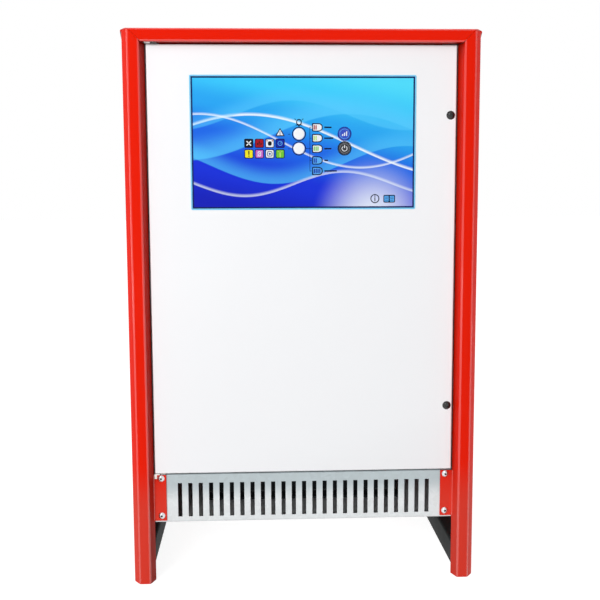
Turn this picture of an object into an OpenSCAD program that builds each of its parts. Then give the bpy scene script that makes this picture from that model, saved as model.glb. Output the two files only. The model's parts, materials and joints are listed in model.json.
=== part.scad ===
// Floor-standing industrial battery charger in a folded steel cabinet.
// The front faces -Y, +X is to the viewer's right and +Z is up. The origin
// lies on the floor, in the middle of the cabinet's outline seen from above.
// Inside the modules y is the depth behind the face of the uprights, and
// place() moves it to the frame.

/* [Cabinet] */
// Width over the two side panels
cab_w = 420; // [400:1:560]
// Height from the floor to the top of the cover
cab_h = 665; // [640:1:900]
// Depth of the side panels, front face to rear fold
cab_d = 320; // [310:1:460]
// Sheet of the side panels and the door
sheet = 1.5; // [1.2:0.1:2]
// Inside radius of an ordinary bend
bend_in = 1; // [0.6:0.1:2]
// Width of the inward fold at the rear of a side panel
rear_fold = 15; // [12:1:25]

/* [Uprights] */
// Distance from the side to the inner return of an upright
upright_w = 26; // [24:1:40]
// Width that the outer chamfer takes off the face
chamfer_w = 7.5; // [4:0.5:10]
// Depth of the outer chamfer
chamfer_d = 11; // [5:0.5:12]
// Width that the slanted inner return takes off the face
lean_w = 5.2; // [3:0.1:6]
// Depth of the inner return behind the face
return_d = 14; // [13.5:0.5:15]

/* [Cover] */
// Sheet of the top cover
cover_t = 1.2; // [1:0.1:1.5]
// Height of the front bar
bar_h = 15.4; // [12:0.1:24]
// Height of the side and rear skirts
skirt_h = 10; // [8:0.5:16]
// Open seam between cover and side panels
seam = 0.3; // [0.2:0.1:0.6]

/* [Door] */
// Underside of the door above the floor
door_z = 135; // [130:0.1:180]
// Depth of the door's face behind the uprights
door_in = 12; // [12:0.5:13]
// Gap between the door and the upright's return
door_gap = 1.3; // [1.2:0.1:3]
// Gap between the door and the front bar
door_top_gap = 1.1; // [0.8:0.1:2]
// Depth of the door's folded edges
door_fold = 13; // [10:0.5:13]
// Outside radius of the door's bends
door_r = 2; // [1.8:0.1:3]
// Radius of the door's corners seen from the front
door_corner = 2.4; // [2:0.1:4]
// Hinge axis inside the door's left edge and behind its face
hinge_in = 4.2; // [4:0.1:4.4]
// Radius of the hinge pins
pin_r = 2; // [1.5:0.1:2.4]
// Radial play of the hinge pins in the door
pin_play = 0.1; // [0.05:0.05:0.1]
// Thickness of the hinge brackets
bracket_t = 1.3; // [1:0.1:1.3]

/* [Door screws] */
// Distance of the screws from the door's right edge
lock_in = 7; // [5.3:0.1:8]
// Height of the lower door screw above the door's lower edge
lock_up = 80.7; // [40:0.1:160]
// Depth of the upper door screw below the top of the cover
lock_down = 98.1; // [70:0.1:200]
// Head radius of the door screws
lock_head_r = 5.2; // [4.5:0.1:6]
// Head height of the door screws
lock_head_h = 3; // [2:0.1:3.4]
// Thread radius of the door screws
lock_r = 2.9; // [2:0.1:3]

/* [Control panel] */
// Width of the printed overlay
overlay_w = 267.2; // [200:0.1:300]
// Height of the printed overlay
overlay_h = 157.2; // [120:0.1:200]
// Thickness of the overlay
overlay_t = 0.5; // [0.3:0.1:0.8]
// Middle of the overlay, to the right of the cabinet's middle
overlay_x = 0.7; // [-10:0.1:10]
// Middle of the overlay below the top of the cover
overlay_down = 130.1; // [110:0.1:160]
// Radius of the round lamp windows
lens_r = 6.6; // [4:0.1:7]
// Radius of the round keys
key_r = 7.1; // [5:0.1:7.2]
// Height step between the two lamps and between the two keys
key_step = 17; // [16.8:0.1:20]
// Middle of the lamps, to the left of the cabinet's middle
lamp_x = -4.7; // [-20:0.1:5]
// Middle of the keys, to the right of the cabinet's middle
key_x = 49.2; // [40:0.1:60]
// Height between the overlay's middle and the midpoint of each pair
pair_up = 1.8; // [-5:0.1:10]
// Travel of a key when it is pressed
key_travel = 0.8; // [0.4:0.1:0.8]
// Gap all round a key in its hole
key_gap = 0.4; // [0.3:0.05:0.5]

/* [Grille] */
// Sheet of the grille
grille_t = 1; // [0.8:0.1:1.2]
// Underside of the grille and the body above the floor
body_z = 73.2; // [60:0.1:90]
// Number of slots
slot_count = 25; // [9:2:27]
// Distance from slot to slot
slot_pitch = 12.73; // [11:0.01:12.8]
// Width of a slot
slot_w = 5.2; // [3:0.1:7]
// Height of a slot
slot_h = 42.4; // [20:0.1:44]
// Visible width of the red flanges beside the grille
flange_w = 14.8; // [12:0.1:16]
// Height between the two screws on a flange
grille_pitch = 47; // [30:0.5:48]
// Head radius of the grille screws
grille_head_r = 4.2; // [3.5:0.1:4.5]
// Head height of the grille screws
grille_head_h = 2.2; // [1.5:0.1:2.6]
// Thread radius of the grille screws
grille_screw_r = 2; // [1.5:0.1:2.5]

/* [Base rails] */
// Height of the base rails
rail_h = 30; // [20:1:50]
// Distance from the side to the rail's inner face
rail_w = 19.9; // [16:0.1:30]
// Radius of the floor fixing holes
floor_hole_r = 4.5; // [3:0.1:5]
// Distance between the fixing holes of one rail
floor_pitch = 200; // [150:1:220]

/* [Rear] */
// Depth of the recess in the rear panel
rear_in = 22; // [18:1:30]
// Radius of the mains inlet's cable hole
mains_r = 8; // [5:0.5:9]
// Radius of the battery outlet's cable hole
battery_r = 14; // [10:0.5:15]
// Length of a cable hole through its gland
gland_l = 33; // [31:0.5:36]

/* [Power stage] */
// Width of one leg of the transformer core
leg_w = 50; // [40:1:52]
// Height of the window in the core
window_h = 150; // [100:1:170]
// Thickness of the stack of plates
stack_d = 70; // [50:1:80]
// Distance of the core's face behind the uprights
core_y = 112; // [100:1:140]
// Bolt radius in the core
core_bolt_r = 4; // [3:0.5:5]
// Number of cooling fins
fin_count = 15; // [7:1:20]
// Distance from fin to fin
fin_pitch = 9; // [6:0.5:9.2]
// Thickness of a fin
fin_t = 2.4; // [1.5:0.1:3]
// Depth of the fins
fin_d = 34; // [20:1:40]
// Width of the heat sink
sink_w = 168; // [150:1:176]
// Width of a rectifier module
module_w = 92; // [70:1:100]
// Height of a rectifier module
module_h = 34; // [24:1:36]
// Depth of a rectifier module with its poles
module_d = 26; // [20:1:34]

/* [Hidden] */
$fn = 48;

// Places that several pieces share
half_w = cab_w / 2;
skirt_x = half_w + seam + cover_t;
overall_d = cab_d + seam + cover_t;
wall_x = half_w - sheet;
return_x = half_w - upright_w;
mitre_x = half_w - chamfer_w - bar_h;
bar_z = cab_h - bar_h;
panel_h = cab_h - cover_t - seam;
bend_mid = bend_in + sheet / 2;
bend_steps = 5;
cut = 1;
screw_play = 0.1;
screw_l = 8;
screw_key = 2.5;

// The door and its hinge
door_half = return_x - door_gap;
door_top = bar_z - door_top_gap;
door_back = door_in + sheet;
hinge_x = -door_half + hinge_in;
hinge_y = door_in + hinge_in;
hinge_play = 0.3;
lock_low_z = door_z + lock_up;
lock_high_z = cab_h - lock_down;
overlay_z = cab_h - overlay_down;
lock_x = door_half - lock_in;
lock_play = 0.7;
lock_l = 22;
lock_key = 4;
post_t = 1.2;
seal_t = 1.5;
seal_w = 9;
seal_end = 6;
fold_swing = norm([hinge_in, door_fold - hinge_in]);
seal_gap = 0.38;
seal_y = hinge_y + fold_swing + seal_gap;
post_y = seal_y + seal_t;
bracket_w = 13;
ear_in = 0.6;
ear_w = 3;
ear_h = 4.7;
ear_gap = 0.4;

// The grille and the flanges that hold it
flange_top = door_z - hinge_play - bracket_t;
flange_low = body_z + 2.5;
flange_y = return_d - sheet;
grille_screw_in = 1.2;
flange_edge = return_x - flange_w;
grille_y = return_d;
grille_x = return_x - 0.5;
grille_lip = 26;
grille_foot = 38;
grille_bend = 0.7;
lip_short = 16;
lip_gap = 0.8;
grille_screw_x = (return_x + flange_edge) / 2 - grille_screw_in;
grille_low_z = flange_low + 6.2;
grille_screw_z = [grille_low_z, grille_low_z + grille_pitch];
slot_mid_z = body_z + 28;

// The floor of the body and the rear panel
tray_z = body_z + grille_t;
tray_top = tray_z + sheet;
tray_y = grille_y + grille_t + 1;
tray_fold = 20;
vent_h = 32;
vent_edge = 28;
vent_step = vent_h + 6;
rear_t = 1.2;
rear_y = cab_d - sheet - rear_in;
rear_lip = 12;
rear_fold_y = cab_d - sheet - rear_t / 2;
rear_screw_x = half_w - sheet - 7.5;
rear_screw_r = 2;
rear_head_r = 3.8;
rear_head_h = 2;

// The transformer
clamp_h = 34;
clamp_t = 3;
clamp_foot = 26;
clamp_rise = 12;
core_gap = leg_w;
core_w = 3 * leg_w + 2 * core_gap;
core_h = window_h + 2 * leg_w;
core_z = tray_top + clamp_rise;
coil_pitch = leg_w + core_gap;
coil_play = 1;
coil_out = core_gap / 2 - 4;
coil_r = 8;
bobbin_t = 2.5;
bolt_xs = [-core_w / 2 + 18, 0, core_w / 2 - 18];
bolt_play = 0.3;
bolt_hex = 3.5;
bolt_head = 6;
clamp_over = 4;
clamp_up = 6;
clamp_lip = 8;
coil_gap = 1;
flange_out = 2;

// The mounting plate and the rectifier on it
plate_t = 1.5;
plate_y = rear_y - 55;
plate_gap = 22;
plate_z0 = core_z + core_h + plate_gap;
plate_z1 = cab_h - 25;
plate_h = plate_z1 - plate_z0;
plate_fold = 14;
sink_h = 0.62 * plate_h;
sink_t = 8;
sink_x = -half_w / 2;
sink_z = plate_z0 + 0.54 * plate_h;
sink_y = plate_y - sink_t;
window_in = 10;
module_n = 3;
module_pitch = 0.31 * sink_h;
module_base = 3;
module_step = 9;
pole_h = 2;
module_zs = [for (i = [0:module_n - 1]) sink_z + (i - (module_n - 1) / 2) * module_pitch];
stud_r = 3;
bar_w = 18;
bar_t = 3;
bar_tail = 60;
pole_dx = 26;

// The rail with the switchgear; each device has a width, depth and height
contactor = [55, 78, 82];
fuse_holder = [18, 58, 80];
terminal = [6, 44, 56];
din_x0 = 14;
din_x1 = wall_x - 20;
din_z = plate_z0 + 0.7 * plate_h;
din_h = 35;
din_d = 7.5;
din_t = 1;
din_lip = 5;
gear_y = plate_y - din_d;
device_gap = 0.3;
device_space = 5;
body_share = 0.55;
nose_share = 0.56;
fuse_n = 3;
fuse_pitch = fuse_holder[0] + device_gap;
fuse_x = din_x0 + 10;
contactor_x = fuse_x + fuse_n * fuse_pitch + device_space;
terminal_n = 7;
terminal_pitch = terminal[0] + device_gap;
terminal_x = contactor_x + contactor[0] + device_space;
terminal_hole_r = 2;

// The board behind the control panel
overlay_r = 2;
board_y = door_back + 18;
board_t = 1.6;
board_w = 180;
board_h = 122;
board_rear = board_y + board_t;
board_x = 20;
board_z = overlay_z;
standoff_in = 7;
standoff_r = 3.5;
board_screw_r = 1.5;
pair_z = overlay_z + pair_up;
high_z = pair_z + key_step / 2;
low_z = pair_z - key_step / 2;
key_proud = key_travel + 0.1;
key_soft = 0.8;
key_dish = 0.25;
key_pin_r = 2;
key_slack = 0.3;
key_collar_r = key_step / 2 - key_slack;
key_back = door_back + key_slack;
switch_h = 2.4;
switch_w = 6;
key_stem_y = board_y - switch_h - key_travel - key_slack;
collar_t = 1.2;
lens_proud = 0.6;
lens_soft = 0.6;
lens_rim = 1.4;
lens_wall = 1;
led_r = 2.5;

// Moves depth behind the uprights to the frame
module place() {
    translate([0, -(overall_d + rear_head_h) / 2, 0]) children();
}

// Draws a piece and its mirror image across the middle of the cabinet
module both_sides() {
    children();
    mirror([1, 0, 0]) children();
}

// Lays an outline drawn in (y, z) along the width, from x0 to x1
module along_x(x0, x1) {
    translate([x0, 0, 0]) rotate([90, 0, 90]) linear_extrude(x1 - x0) children();
}

// Lays an outline drawn in (x, z) along the depth, from y0 to y1
module along_y(y0, y1) {
    translate([0, y1, 0]) rotate([90, 0, 0]) linear_extrude(y1 - y0) children();
}

// A round bar along the depth, from y0 to y1
module rod_y(x, z, r, y0, y1) {
    translate([x, y0, z]) rotate([-90, 0, 0]) cylinder(r = r, h = y1 - y0);
}

// A box given by its lowest corner and its size
module block(x, y, z, w, d, h) {
    translate([x, y, z]) cube([w, d, h]);
}

// Vector helpers for the folded sections
function unit(v) = v / norm(v);
function left_of(v) = [-v[1], v[0]];
function turned(v, a) = [v[0] * cos(a) - v[1] * sin(a), v[0] * sin(a) + v[1] * cos(a)];
function turn_of(a, b) = atan2(a[0] * b[1] - a[1] * b[0], a * b);

// One face of a folded sheet: the path runs down the middle of the sheet, and
// each inner corner becomes an arc of radius r, moved s half sheets sideways
function face_of(p, t, r, s) = [for (i = [0:len(p) - 1])
    let (end = i == 0 || i == len(p) - 1,
        d0 = unit(i == 0 ? p[1] - p[0] : p[i] - p[i - 1]),
        d1 = unit(i == len(p) - 1 ? p[i] - p[i - 1] : p[i + 1] - p[i]),
        a = turn_of(d0, d1),
        way = a < 0 ? -1 : 1,
        c = p[i] - r[i] * tan(abs(a) / 2) * d0 + way * r[i] * left_of(d0))
    for (k = [0:end ? 0 : bend_steps])
        end ? p[i] + s * t / 2 * left_of(d0)
            : c + (r[i] - s * way * t / 2) * turned(-way * left_of(d0), a * k / bend_steps)];

function reversed(v) = [for (i = [len(v) - 1:-1:0]) v[i]];

function same(n, v) = [for (i = [1:n]) v];

// The outline of a sheet of thickness t folded along the path p
module folded(p, t, r) {
    polygon(concat(face_of(p, t, r, 1), reversed(face_of(p, t, r, -1))));
}

// An outline with its first two corners rounded, for a tray seen from one end
function rounded_front(lo, hi, front, back, r) = concat(
    [for (k = [0:bend_steps], a = 90 * k / bend_steps) [lo + r - r * cos(a), front + r - r * sin(a)]],
    [for (k = [0:bend_steps], a = 90 * k / bend_steps) [hi - r + r * sin(a), front + r - r * cos(a)]],
    [[hi, back], [lo, back]]);

// A rectangle with round corners, centred
module round_rect(w, h, r) {
    square([w - 2 * r, h], center = true);
    square([w, h - 2 * r], center = true);
    for (i = [-1, 1], j = [-1, 1]) translate([i * (w / 2 - r), j * (h / 2 - r)]) circle(r);
}

// A row of upright slots with square ends, drawn in (x, z)
module slot_row(count, pitch, w, h, z) {
    for (i = [0:count - 1]) translate([(i - (count - 1) / 2) * pitch, z]) square([w, h], center = true);
}

// A button-head screw along the depth, its head in front of y
module button_screw(x, z, y, head_r, head_h, r, l, key) {
    difference() {
        union() {
            translate([x, y, z]) rotate([90, 0, 0]) rotate_extrude() {
                intersection() {
                    translate([0, -(pow(head_r, 2) - pow(head_h, 2)) / (2 * head_h)])
                        circle((pow(head_r, 2) + pow(head_h, 2)) / (2 * head_h), $fn = 96);
                    square([head_r, head_h]);
                }
            }
            rod_y(x, z, r, y, y + l);
        }
        translate([x, y - head_h - cut, z]) rotate([-90, 0, 0])
            cylinder(r = key / 2 / cos(30), h = head_h * 0.7 + cut, $fn = 6);
    }
}

// The folded section of a side panel in plan, for the left side
chamfer_turn = atan2(chamfer_d, chamfer_w);
lean_turn = atan2(return_d, lean_w);
function lean_x(y) = return_x + lean_w * (1 - y / return_d);
lean_dir = [cos(lean_turn), sin(lean_turn)];
lean_foot = [-return_x, return_d] + sheet / 2 * left_of(lean_dir);
lean_corner = [-lean_x(flange_y) - sheet / 2 * tan(lean_turn / 2), flange_y + sheet / 2];
flange_leg = 5;
panel_path = [
    lean_foot,
    [-lean_x(0) - sheet / 2 * tan(lean_turn / 2), sheet / 2],
    [-half_w + chamfer_w + sheet / 2 * tan(chamfer_turn / 2), sheet / 2],
    [-half_w + sheet / 2, chamfer_d + sheet / 2 * tan((90 - chamfer_turn) / 2)],
    [-half_w + sheet / 2, cab_d - sheet / 2],
    [-half_w + rear_fold, cab_d - sheet / 2]];
panel_bends = [0, bend_mid, bend_mid, bend_mid, bend_mid, 0];

// The corner of the front that the cover's bar fills, drawn in (x, z)
module bar_corner(gap) {
    polygon([[-mitre_x - bar_h - cut - gap, cab_h + cut], [-mitre_x - gap, bar_z],
        [-mitre_x - gap, bar_z - gap], [0, bar_z - gap], [0, cab_h + cut]]);
}

// One side of the cabinet: upright, wall and rear fold are one sheet
module side_panel(ear) {
    difference() {
        union() {
            linear_extrude(panel_h) folded(panel_path, sheet, panel_bends);
            translate([0, 0, flange_low]) linear_extrude(flange_top - flange_low)
                folded([lean_corner - flange_leg * lean_dir, lean_corner,
                    [-flange_edge, flange_y + sheet / 2]], sheet, [0, bend_mid, 0]);
        }
        along_y(-cut, return_d + cut) bar_corner(seam);
        for (z = grille_screw_z)
            rod_y(-grille_screw_x, z, grille_screw_r + screw_play, flange_y - cut, return_d + cut);
        if (ear)
            block(-return_x, flange_y - cut, flange_top - ear_h - ear_gap, ear_in + ear_w + ear_gap,
                sheet + 2 * cut, ear_h + ear_gap + cut);
        for (z = concat(rear_screw_z, cover_screw_z))
            rod_y(-rear_screw_x, z, rear_screw_r + screw_play, cab_d - sheet - cut, cab_d + cut);
    }
}

rear_screw_n = 4;
rear_screw_low = tray_z + 24;
rear_screw_high = cab_h - 36;
rear_screw_z = [for (i = [0:rear_screw_n - 1])
    rear_screw_low + i * (rear_screw_high - rear_screw_low) / (rear_screw_n - 1)];

module side_panel_left() {
    color("red") place() side_panel(true);
}

module side_panel_right() {
    color("red") place() mirror([1, 0, 0]) side_panel(false);
}

// The cover: front bar with its return, roof, side skirts and rear skirt
cover_mid = bend_in + cover_t / 2;
roof_in = 2;
skirt_lap = 12;
skirt_rake = 12;
hinge_notch_y = cover_t + bend_in + cut;
hinge_notch_w = ear_in + bracket_w + ear_gap + cut;

module cover_roof() {
    difference() {
        along_x(-half_w + roof_in, half_w - roof_in)
            folded([[return_d, bar_z + cover_t / 2], [cover_t / 2, bar_z + cover_t / 2],
                [cover_t / 2, cab_h - cover_t / 2], [overall_d - cover_t / 2, cab_h - cover_t / 2],
                [overall_d - cover_t / 2, cab_h - skirt_h]],
                cover_t, same(5, cover_mid));
        both_sides() {
            along_y(-cut, return_d + cut) difference() {
                translate([-half_w - cut, bar_z - cut]) square([half_w, bar_h + cut - cover_t]);
                bar_corner(0);
            }
            linear_extrude(cab_h + cut)
                polygon([[-skirt_x, -cut], [-half_w + chamfer_w, -cut], [-half_w + chamfer_w, 0],
                    [-half_w, chamfer_d], [-skirt_x, chamfer_d]]);
            translate([0, 0, bar_z - cut]) linear_extrude(cover_t + 2 * cut)
                polygon([[-half_w, hinge_notch_y], [-lean_x(hinge_notch_y), hinge_notch_y],
                    [-return_x, return_d], [-return_x, return_d + cut], [-half_w, return_d + cut]]);
        }
        block(-return_x - cut, hinge_notch_y, bar_z - cut, hinge_notch_w + cut, return_d, cover_t + 2 * cut);
        for (x = cover_screw_x)
            rod_y(x, cover_screw_z, rear_screw_r + screw_play, cab_d - cut, overall_d + cut);
    }
}

cover_screw_x = [-rear_screw_x, rear_screw_x];
cover_screw_z = cab_h - skirt_h / 2 - 1;

module top_cover() {
    color("red") place() {
        cover_roof();
        both_sides() difference() {
            along_y(chamfer_d + cut, overall_d - cover_t - cut)
                folded([[-half_w + skirt_lap, cab_h - cover_t / 2],
                    [-skirt_x + cover_t / 2, cab_h - cover_t / 2],
                    [-skirt_x + cover_t / 2, cab_h - skirt_h]], cover_t, [0, cover_mid, 0]);
            along_x(-skirt_x - cut, -half_w)
                polygon([[chamfer_d, cab_h - cover_t - bend_in],
                    [chamfer_d + skirt_rake, cab_h - skirt_h - cut], [chamfer_d, cab_h - skirt_h - cut]]);
        }
    }
}

// Channel between the feet of the uprights, open towards the side panel
rail_y0 = return_d + 2;
rail_y1 = cab_d - sheet - bend_in - seam;
rail_mid_y = (rail_y0 + rail_y1) / 2;
floor_x = (wall_x + half_w - rail_w + sheet + bend_in) / 2;
floor_tool_r = floor_hole_r + 2.3;
floor_ys = [rail_mid_y - floor_pitch / 2, rail_mid_y + floor_pitch / 2];

module base_rail() {
    difference() {
        along_y(rail_y0, rail_y1)
            folded([[-wall_x, rail_h - sheet / 2], [-half_w + rail_w - sheet / 2, rail_h - sheet / 2],
                [-half_w + rail_w - sheet / 2, sheet / 2], [-wall_x, sheet / 2]],
                sheet, [0, bend_mid, bend_mid, 0]);
        for (y = floor_ys) {
            translate([-floor_x, y, -cut]) cylinder(r = floor_hole_r, h = sheet + 2 * cut);
            translate([-floor_x, y, rail_h - sheet - cut]) cylinder(r = floor_tool_r, h = sheet + 2 * cut);
        }
    }
}

module base_rail_left() {
    color("dimgray") place() base_rail();
}

module base_rail_right() {
    color("dimgray") place() mirror([1, 0, 0]) base_rail();
}

// Floor of the body, with its edges folded up against the side panels
module chassis_tray() {
    color("silver") place() difference() {
        along_y(tray_y, rear_y)
            folded([[-wall_x + sheet / 2, tray_z + tray_fold], [-wall_x + sheet / 2, tray_z + sheet / 2],
                [wall_x - sheet / 2, tray_z + sheet / 2], [wall_x - sheet / 2, tray_z + tray_fold]],
                sheet, [0, bend_mid, bend_mid, 0]);
        for (y = [rear_y - vent_edge, rear_y - vent_edge - vent_step])
            translate([0, y, tray_z - cut]) linear_extrude(sheet + 2 * cut)
                slot_row(slot_count, slot_pitch, slot_w, vent_h, 0);
    }
}

// Slotted intake grille: one galvanised sheet with a fold above and below
module front_grille() {
    color("silver") place() difference() {
        along_x(-grille_x, grille_x)
            folded([[grille_lip, flange_top - grille_t / 2],
                [grille_y + grille_t / 2, flange_top - grille_t / 2],
                [grille_y + grille_t / 2, body_z + grille_t / 2], [grille_foot, body_z + grille_t / 2]],
                grille_t, same(4, grille_bend + grille_t / 2));
        along_y(grille_y - cut, grille_y + grille_t + cut)
            slot_row(slot_count, slot_pitch, slot_w, slot_h, slot_mid_z);
        for (i = [-1, 1], z = grille_screw_z)
            rod_y(i * grille_screw_x, z, grille_screw_r + screw_play, grille_y - cut,
                grille_y + grille_t + cut);
        both_sides() block(-grille_x - cut, grille_y + grille_t + lip_gap, slot_mid_z + slot_h / 2,
            lip_short + cut, grille_lip, flange_top - slot_mid_z);
    }
}

module grille_screws() {
    color("silver") place() for (i = [-1, 1], z = grille_screw_z)
        button_screw(i * grille_screw_x, z, flange_y, grille_head_r, grille_head_h, grille_screw_r, screw_l,
            screw_key);
}

// Upright strip inside the side panel: the left one carries the hinges and
// the right one the threaded bushes of the door screws
post_x = return_x - 14;
post_z0 = tray_top + bend_in;
post_z1 = panel_h - 2;
post_lip = 10;
post_flange = 24;
tray_off = sheet + post_t / 2;
pad_w = 10;
pad_h = 20;
pad_y = post_y + post_flange / 2;
pad_z = [post_z0 + 30, (post_z0 + post_z1) / 2, post_z1 - 30];
bush_wall = 3;
bush_l = 9;

module door_post() {
    translate([0, 0, post_z0]) linear_extrude(post_z1 - post_z0)
        folded([[-wall_x + tray_off, post_y + post_flange], [-wall_x + tray_off, post_y + post_t / 2],
            [-post_x, post_y + post_t / 2], [-post_x, post_y + post_lip]],
            post_t, [0, bend_in + post_t / 2, bend_in + post_t / 2, 0]);
}

module door_post_left() {
    color("silver") place() {
        door_post();
        for (z = pad_z) block(-wall_x, pad_y, z, sheet, pad_w, pad_h);
    }
}

module door_post_right() {
    color("silver") place() difference() {
        union() {
            mirror([1, 0, 0]) door_post();
            for (z = pad_z) block(wall_x - sheet, pad_y, z, sheet, pad_w, pad_h);
            for (z = [lock_low_z, lock_high_z])
                rod_y(lock_x, z, lock_r + bush_wall, post_y + post_t, post_y + post_t + bush_l);
        }
        for (z = [lock_low_z, lock_high_z])
            rod_y(lock_x, z, lock_r + lock_play, post_y - cut, post_y + post_t + bush_l + cut);
    }
}

// Foam strips that the closed door comes up against
module door_seal(i) {
    translate([i < 0 ? -post_x - seal_w - cut : post_x + cut, post_y - seal_t, door_z + seal_end])
        cube([seal_w, seal_t, door_top - door_z - 2 * seal_end]);
}

module door_seal_left() {
    color("dimgray") place() door_seal(-1);
}

module door_seal_right() {
    color("dimgray") place() difference() {
        door_seal(1);
        for (z = [lock_low_z, lock_high_z])
            rod_y(lock_x, z, lock_r + lock_play + seal_gap, seal_y - cut, post_y + cut);
    }
}

// Hinge brackets: a plate that holds the pin and a tab on the left post
bracket_x = -return_x + ear_in;
tab_h = 11;
bracket_rise = 0.1;
pin_in = 9;
pin_head = 1.2;

nose_w = 6.6;

module hinge_bracket(z, way) {
    difference() {
        union() {
            block(bracket_x, flange_y, z, nose_w, post_y - flange_y, bracket_t);
            block(bracket_x, hinge_y, z, bracket_w, post_y - hinge_y, bracket_t);
            block(bracket_x, post_y - bracket_t, way > 0 ? z : z - tab_h, bracket_w, bracket_t,
                tab_h + bracket_t);
        }
        translate([hinge_x, hinge_y, z - cut]) cylinder(r = pin_r, h = bracket_t + 2 * cut);
    }
}

module hinge_bracket_upper() {
    color("silver") place() {
        hinge_bracket(bar_z - bracket_rise, 1);
        block(bracket_x, hinge_notch_y + ear_gap, door_top + hinge_play, nose_w, flange_y - hinge_notch_y,
            bar_z - bracket_rise + bracket_t - door_top - hinge_play);
    }
}

module hinge_bracket_lower() {
    color("silver") place() {
        hinge_bracket(flange_top, -1);
        block(bracket_x, flange_y, flange_top - ear_h, ear_w, sheet - screw_play, ear_h);
    }
}

module hinge_pin_upper() {
    color("gainsboro") place() translate([hinge_x, hinge_y, 0]) {
        translate([0, 0, door_top - pin_in])
            cylinder(r = pin_r, h = bar_z - bracket_rise + bracket_t - door_top + pin_in);
        translate([0, 0, bar_z - bracket_rise + bracket_t]) cylinder(r = pin_r + pin_head, h = pin_head);
    }
}

module hinge_pin_lower() {
    color("gainsboro") place() translate([hinge_x, hinge_y, flange_top])
        cylinder(r = pin_r, h = bracket_t + hinge_play + pin_in);
}

// Rear panel: a shallow tray with its web ahead of the side panels' folds
module rear_panel() {
    color("silver") place() difference() {
        translate([0, 0, tray_z]) linear_extrude(post_z1 - tray_z)
            folded([[-wall_x + rear_lip, rear_fold_y], [-wall_x + rear_t / 2, rear_fold_y],
                [-wall_x + rear_t / 2, rear_y + rear_t / 2], [wall_x - rear_t / 2, rear_y + rear_t / 2],
                [wall_x - rear_t / 2, rear_fold_y], [wall_x - rear_lip, rear_fold_y]],
                rear_t, same(6, bend_in + rear_t / 2));
        along_y(rear_y - cut, rear_y + rear_t + cut) {
            for (k = [0:outlet_rows - 1])
                slot_row(slot_count, slot_pitch, slot_w, slot_h, outlet_z - k * (slot_h + outlet_gap));
            slot_row(slot_count, slot_pitch, slot_w, slot_h, inlet_z);
        }
        rod_y(mains_x, gland_z, mains_r + gland_wall, rear_y - cut, rear_y + rear_t + cut);
        rod_y(battery_x, gland_z, battery_r + gland_wall, rear_y - cut, rear_y + rear_t + cut);
        for (i = [-1, 1], z = concat(rear_screw_z, cover_screw_z))
            rod_y(i * rear_screw_x, z, rear_screw_r + screw_play, rear_fold_y - rear_t, rear_fold_y + rear_t);
    }
}

gland_wall = 4;
gland_z = tray_top + 50;
mains_x = 130;
battery_x = -120;
outlet_rows = 3;
outlet_gap = 14;
outlet_z = cab_h - 60;
inlet_z = gland_z + 90;
hex_w = 4;
hex_h = 7;
cap_w = 1.5;
cap_h = 5;
cap_in = 2;
nut_h = 5;

module rear_screws() {
    color("silver") place() for (i = [-1, 1], z = rear_screw_z)
        translate([0, 2 * cab_d, 0]) mirror([0, 1, 0])
            button_screw(i * rear_screw_x, z, cab_d, rear_head_r, rear_head_h, rear_screw_r, screw_l,
                screw_key);
}

module cover_screws() {
    color("silver") place() for (x = cover_screw_x)
        translate([0, 2 * overall_d, 0]) mirror([0, 1, 0])
            button_screw(x, cover_screw_z, overall_d, rear_head_r, rear_head_h, rear_screw_r, screw_l,
                screw_key);
}

// Cable gland: hexagon and domed cap behind the panel, thread through it
module gland(x, r) {
    outer = rear_in - cap_in;
    inner = gland_l - outer - rear_t;
    difference() {
        union() {
            rod_y(x, gland_z, r + gland_wall - screw_play, rear_y - inner, rear_y + rear_t + cut);
            translate([x, rear_y + rear_t, gland_z]) rotate([-90, 0, 0]) {
                cylinder(r = r + gland_wall + hex_w, h = hex_h, $fn = 6);
                translate([0, 0, hex_h]) cylinder(r = r + gland_wall + cap_w, h = cap_h);
                translate([0, 0, hex_h + cap_h]) rotate_extrude()
                    polygon([[0, 0], [r + gland_wall + cap_w, 0], [r + gland_wall + cap_w / 3, cap_w * 2],
                        [r + cap_w, outer - hex_h - cap_h], [0, outer - hex_h - cap_h]]);
            }
        }
        rod_y(x, gland_z, r, rear_y - inner - cut, cab_d + cut);
    }
}

module mains_gland() {
    color("dimgray") place() gland(mains_x, mains_r);
}

module battery_gland() {
    color("dimgray") place() gland(battery_x, battery_r);
}

module gland_nut(x, r) {
    translate([x, rear_y - nut_h, gland_z]) rotate([-90, 0, 0]) difference() {
        cylinder(r = r + gland_wall + hex_w, h = nut_h, $fn = 6);
        translate([0, 0, -cut]) cylinder(r = r + gland_wall, h = nut_h + 2 * cut);
    }
}

module gland_nuts() {
    color("dimgray") place() {
        gland_nut(mains_x, mains_r);
        gland_nut(battery_x, battery_r);
    }
}

// The door: one sheet with all four edges folded back
module door_form(inset) {
    intersection() {
        along_y(door_in - cut, door_in + door_fold + 2 * cut) translate([0, (door_z + door_top) / 2])
            round_rect(2 * (door_half - inset), door_top - door_z - 2 * inset, door_corner - inset);
        translate([0, 0, door_z + inset]) linear_extrude(door_top - door_z - 2 * inset)
            polygon(rounded_front(-door_half + inset, door_half - inset, door_in + inset,
                door_in + door_fold + (inset > 0 ? cut : 0), door_r - inset));
        along_x(-door_half + inset, door_half - inset)
            polygon([for (q = rounded_front(door_z + inset, door_top - inset, door_in + inset,
                door_in + door_fold + (inset > 0 ? cut : 0), door_r - inset)) [q[1], q[0]]]);
    }
}

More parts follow.
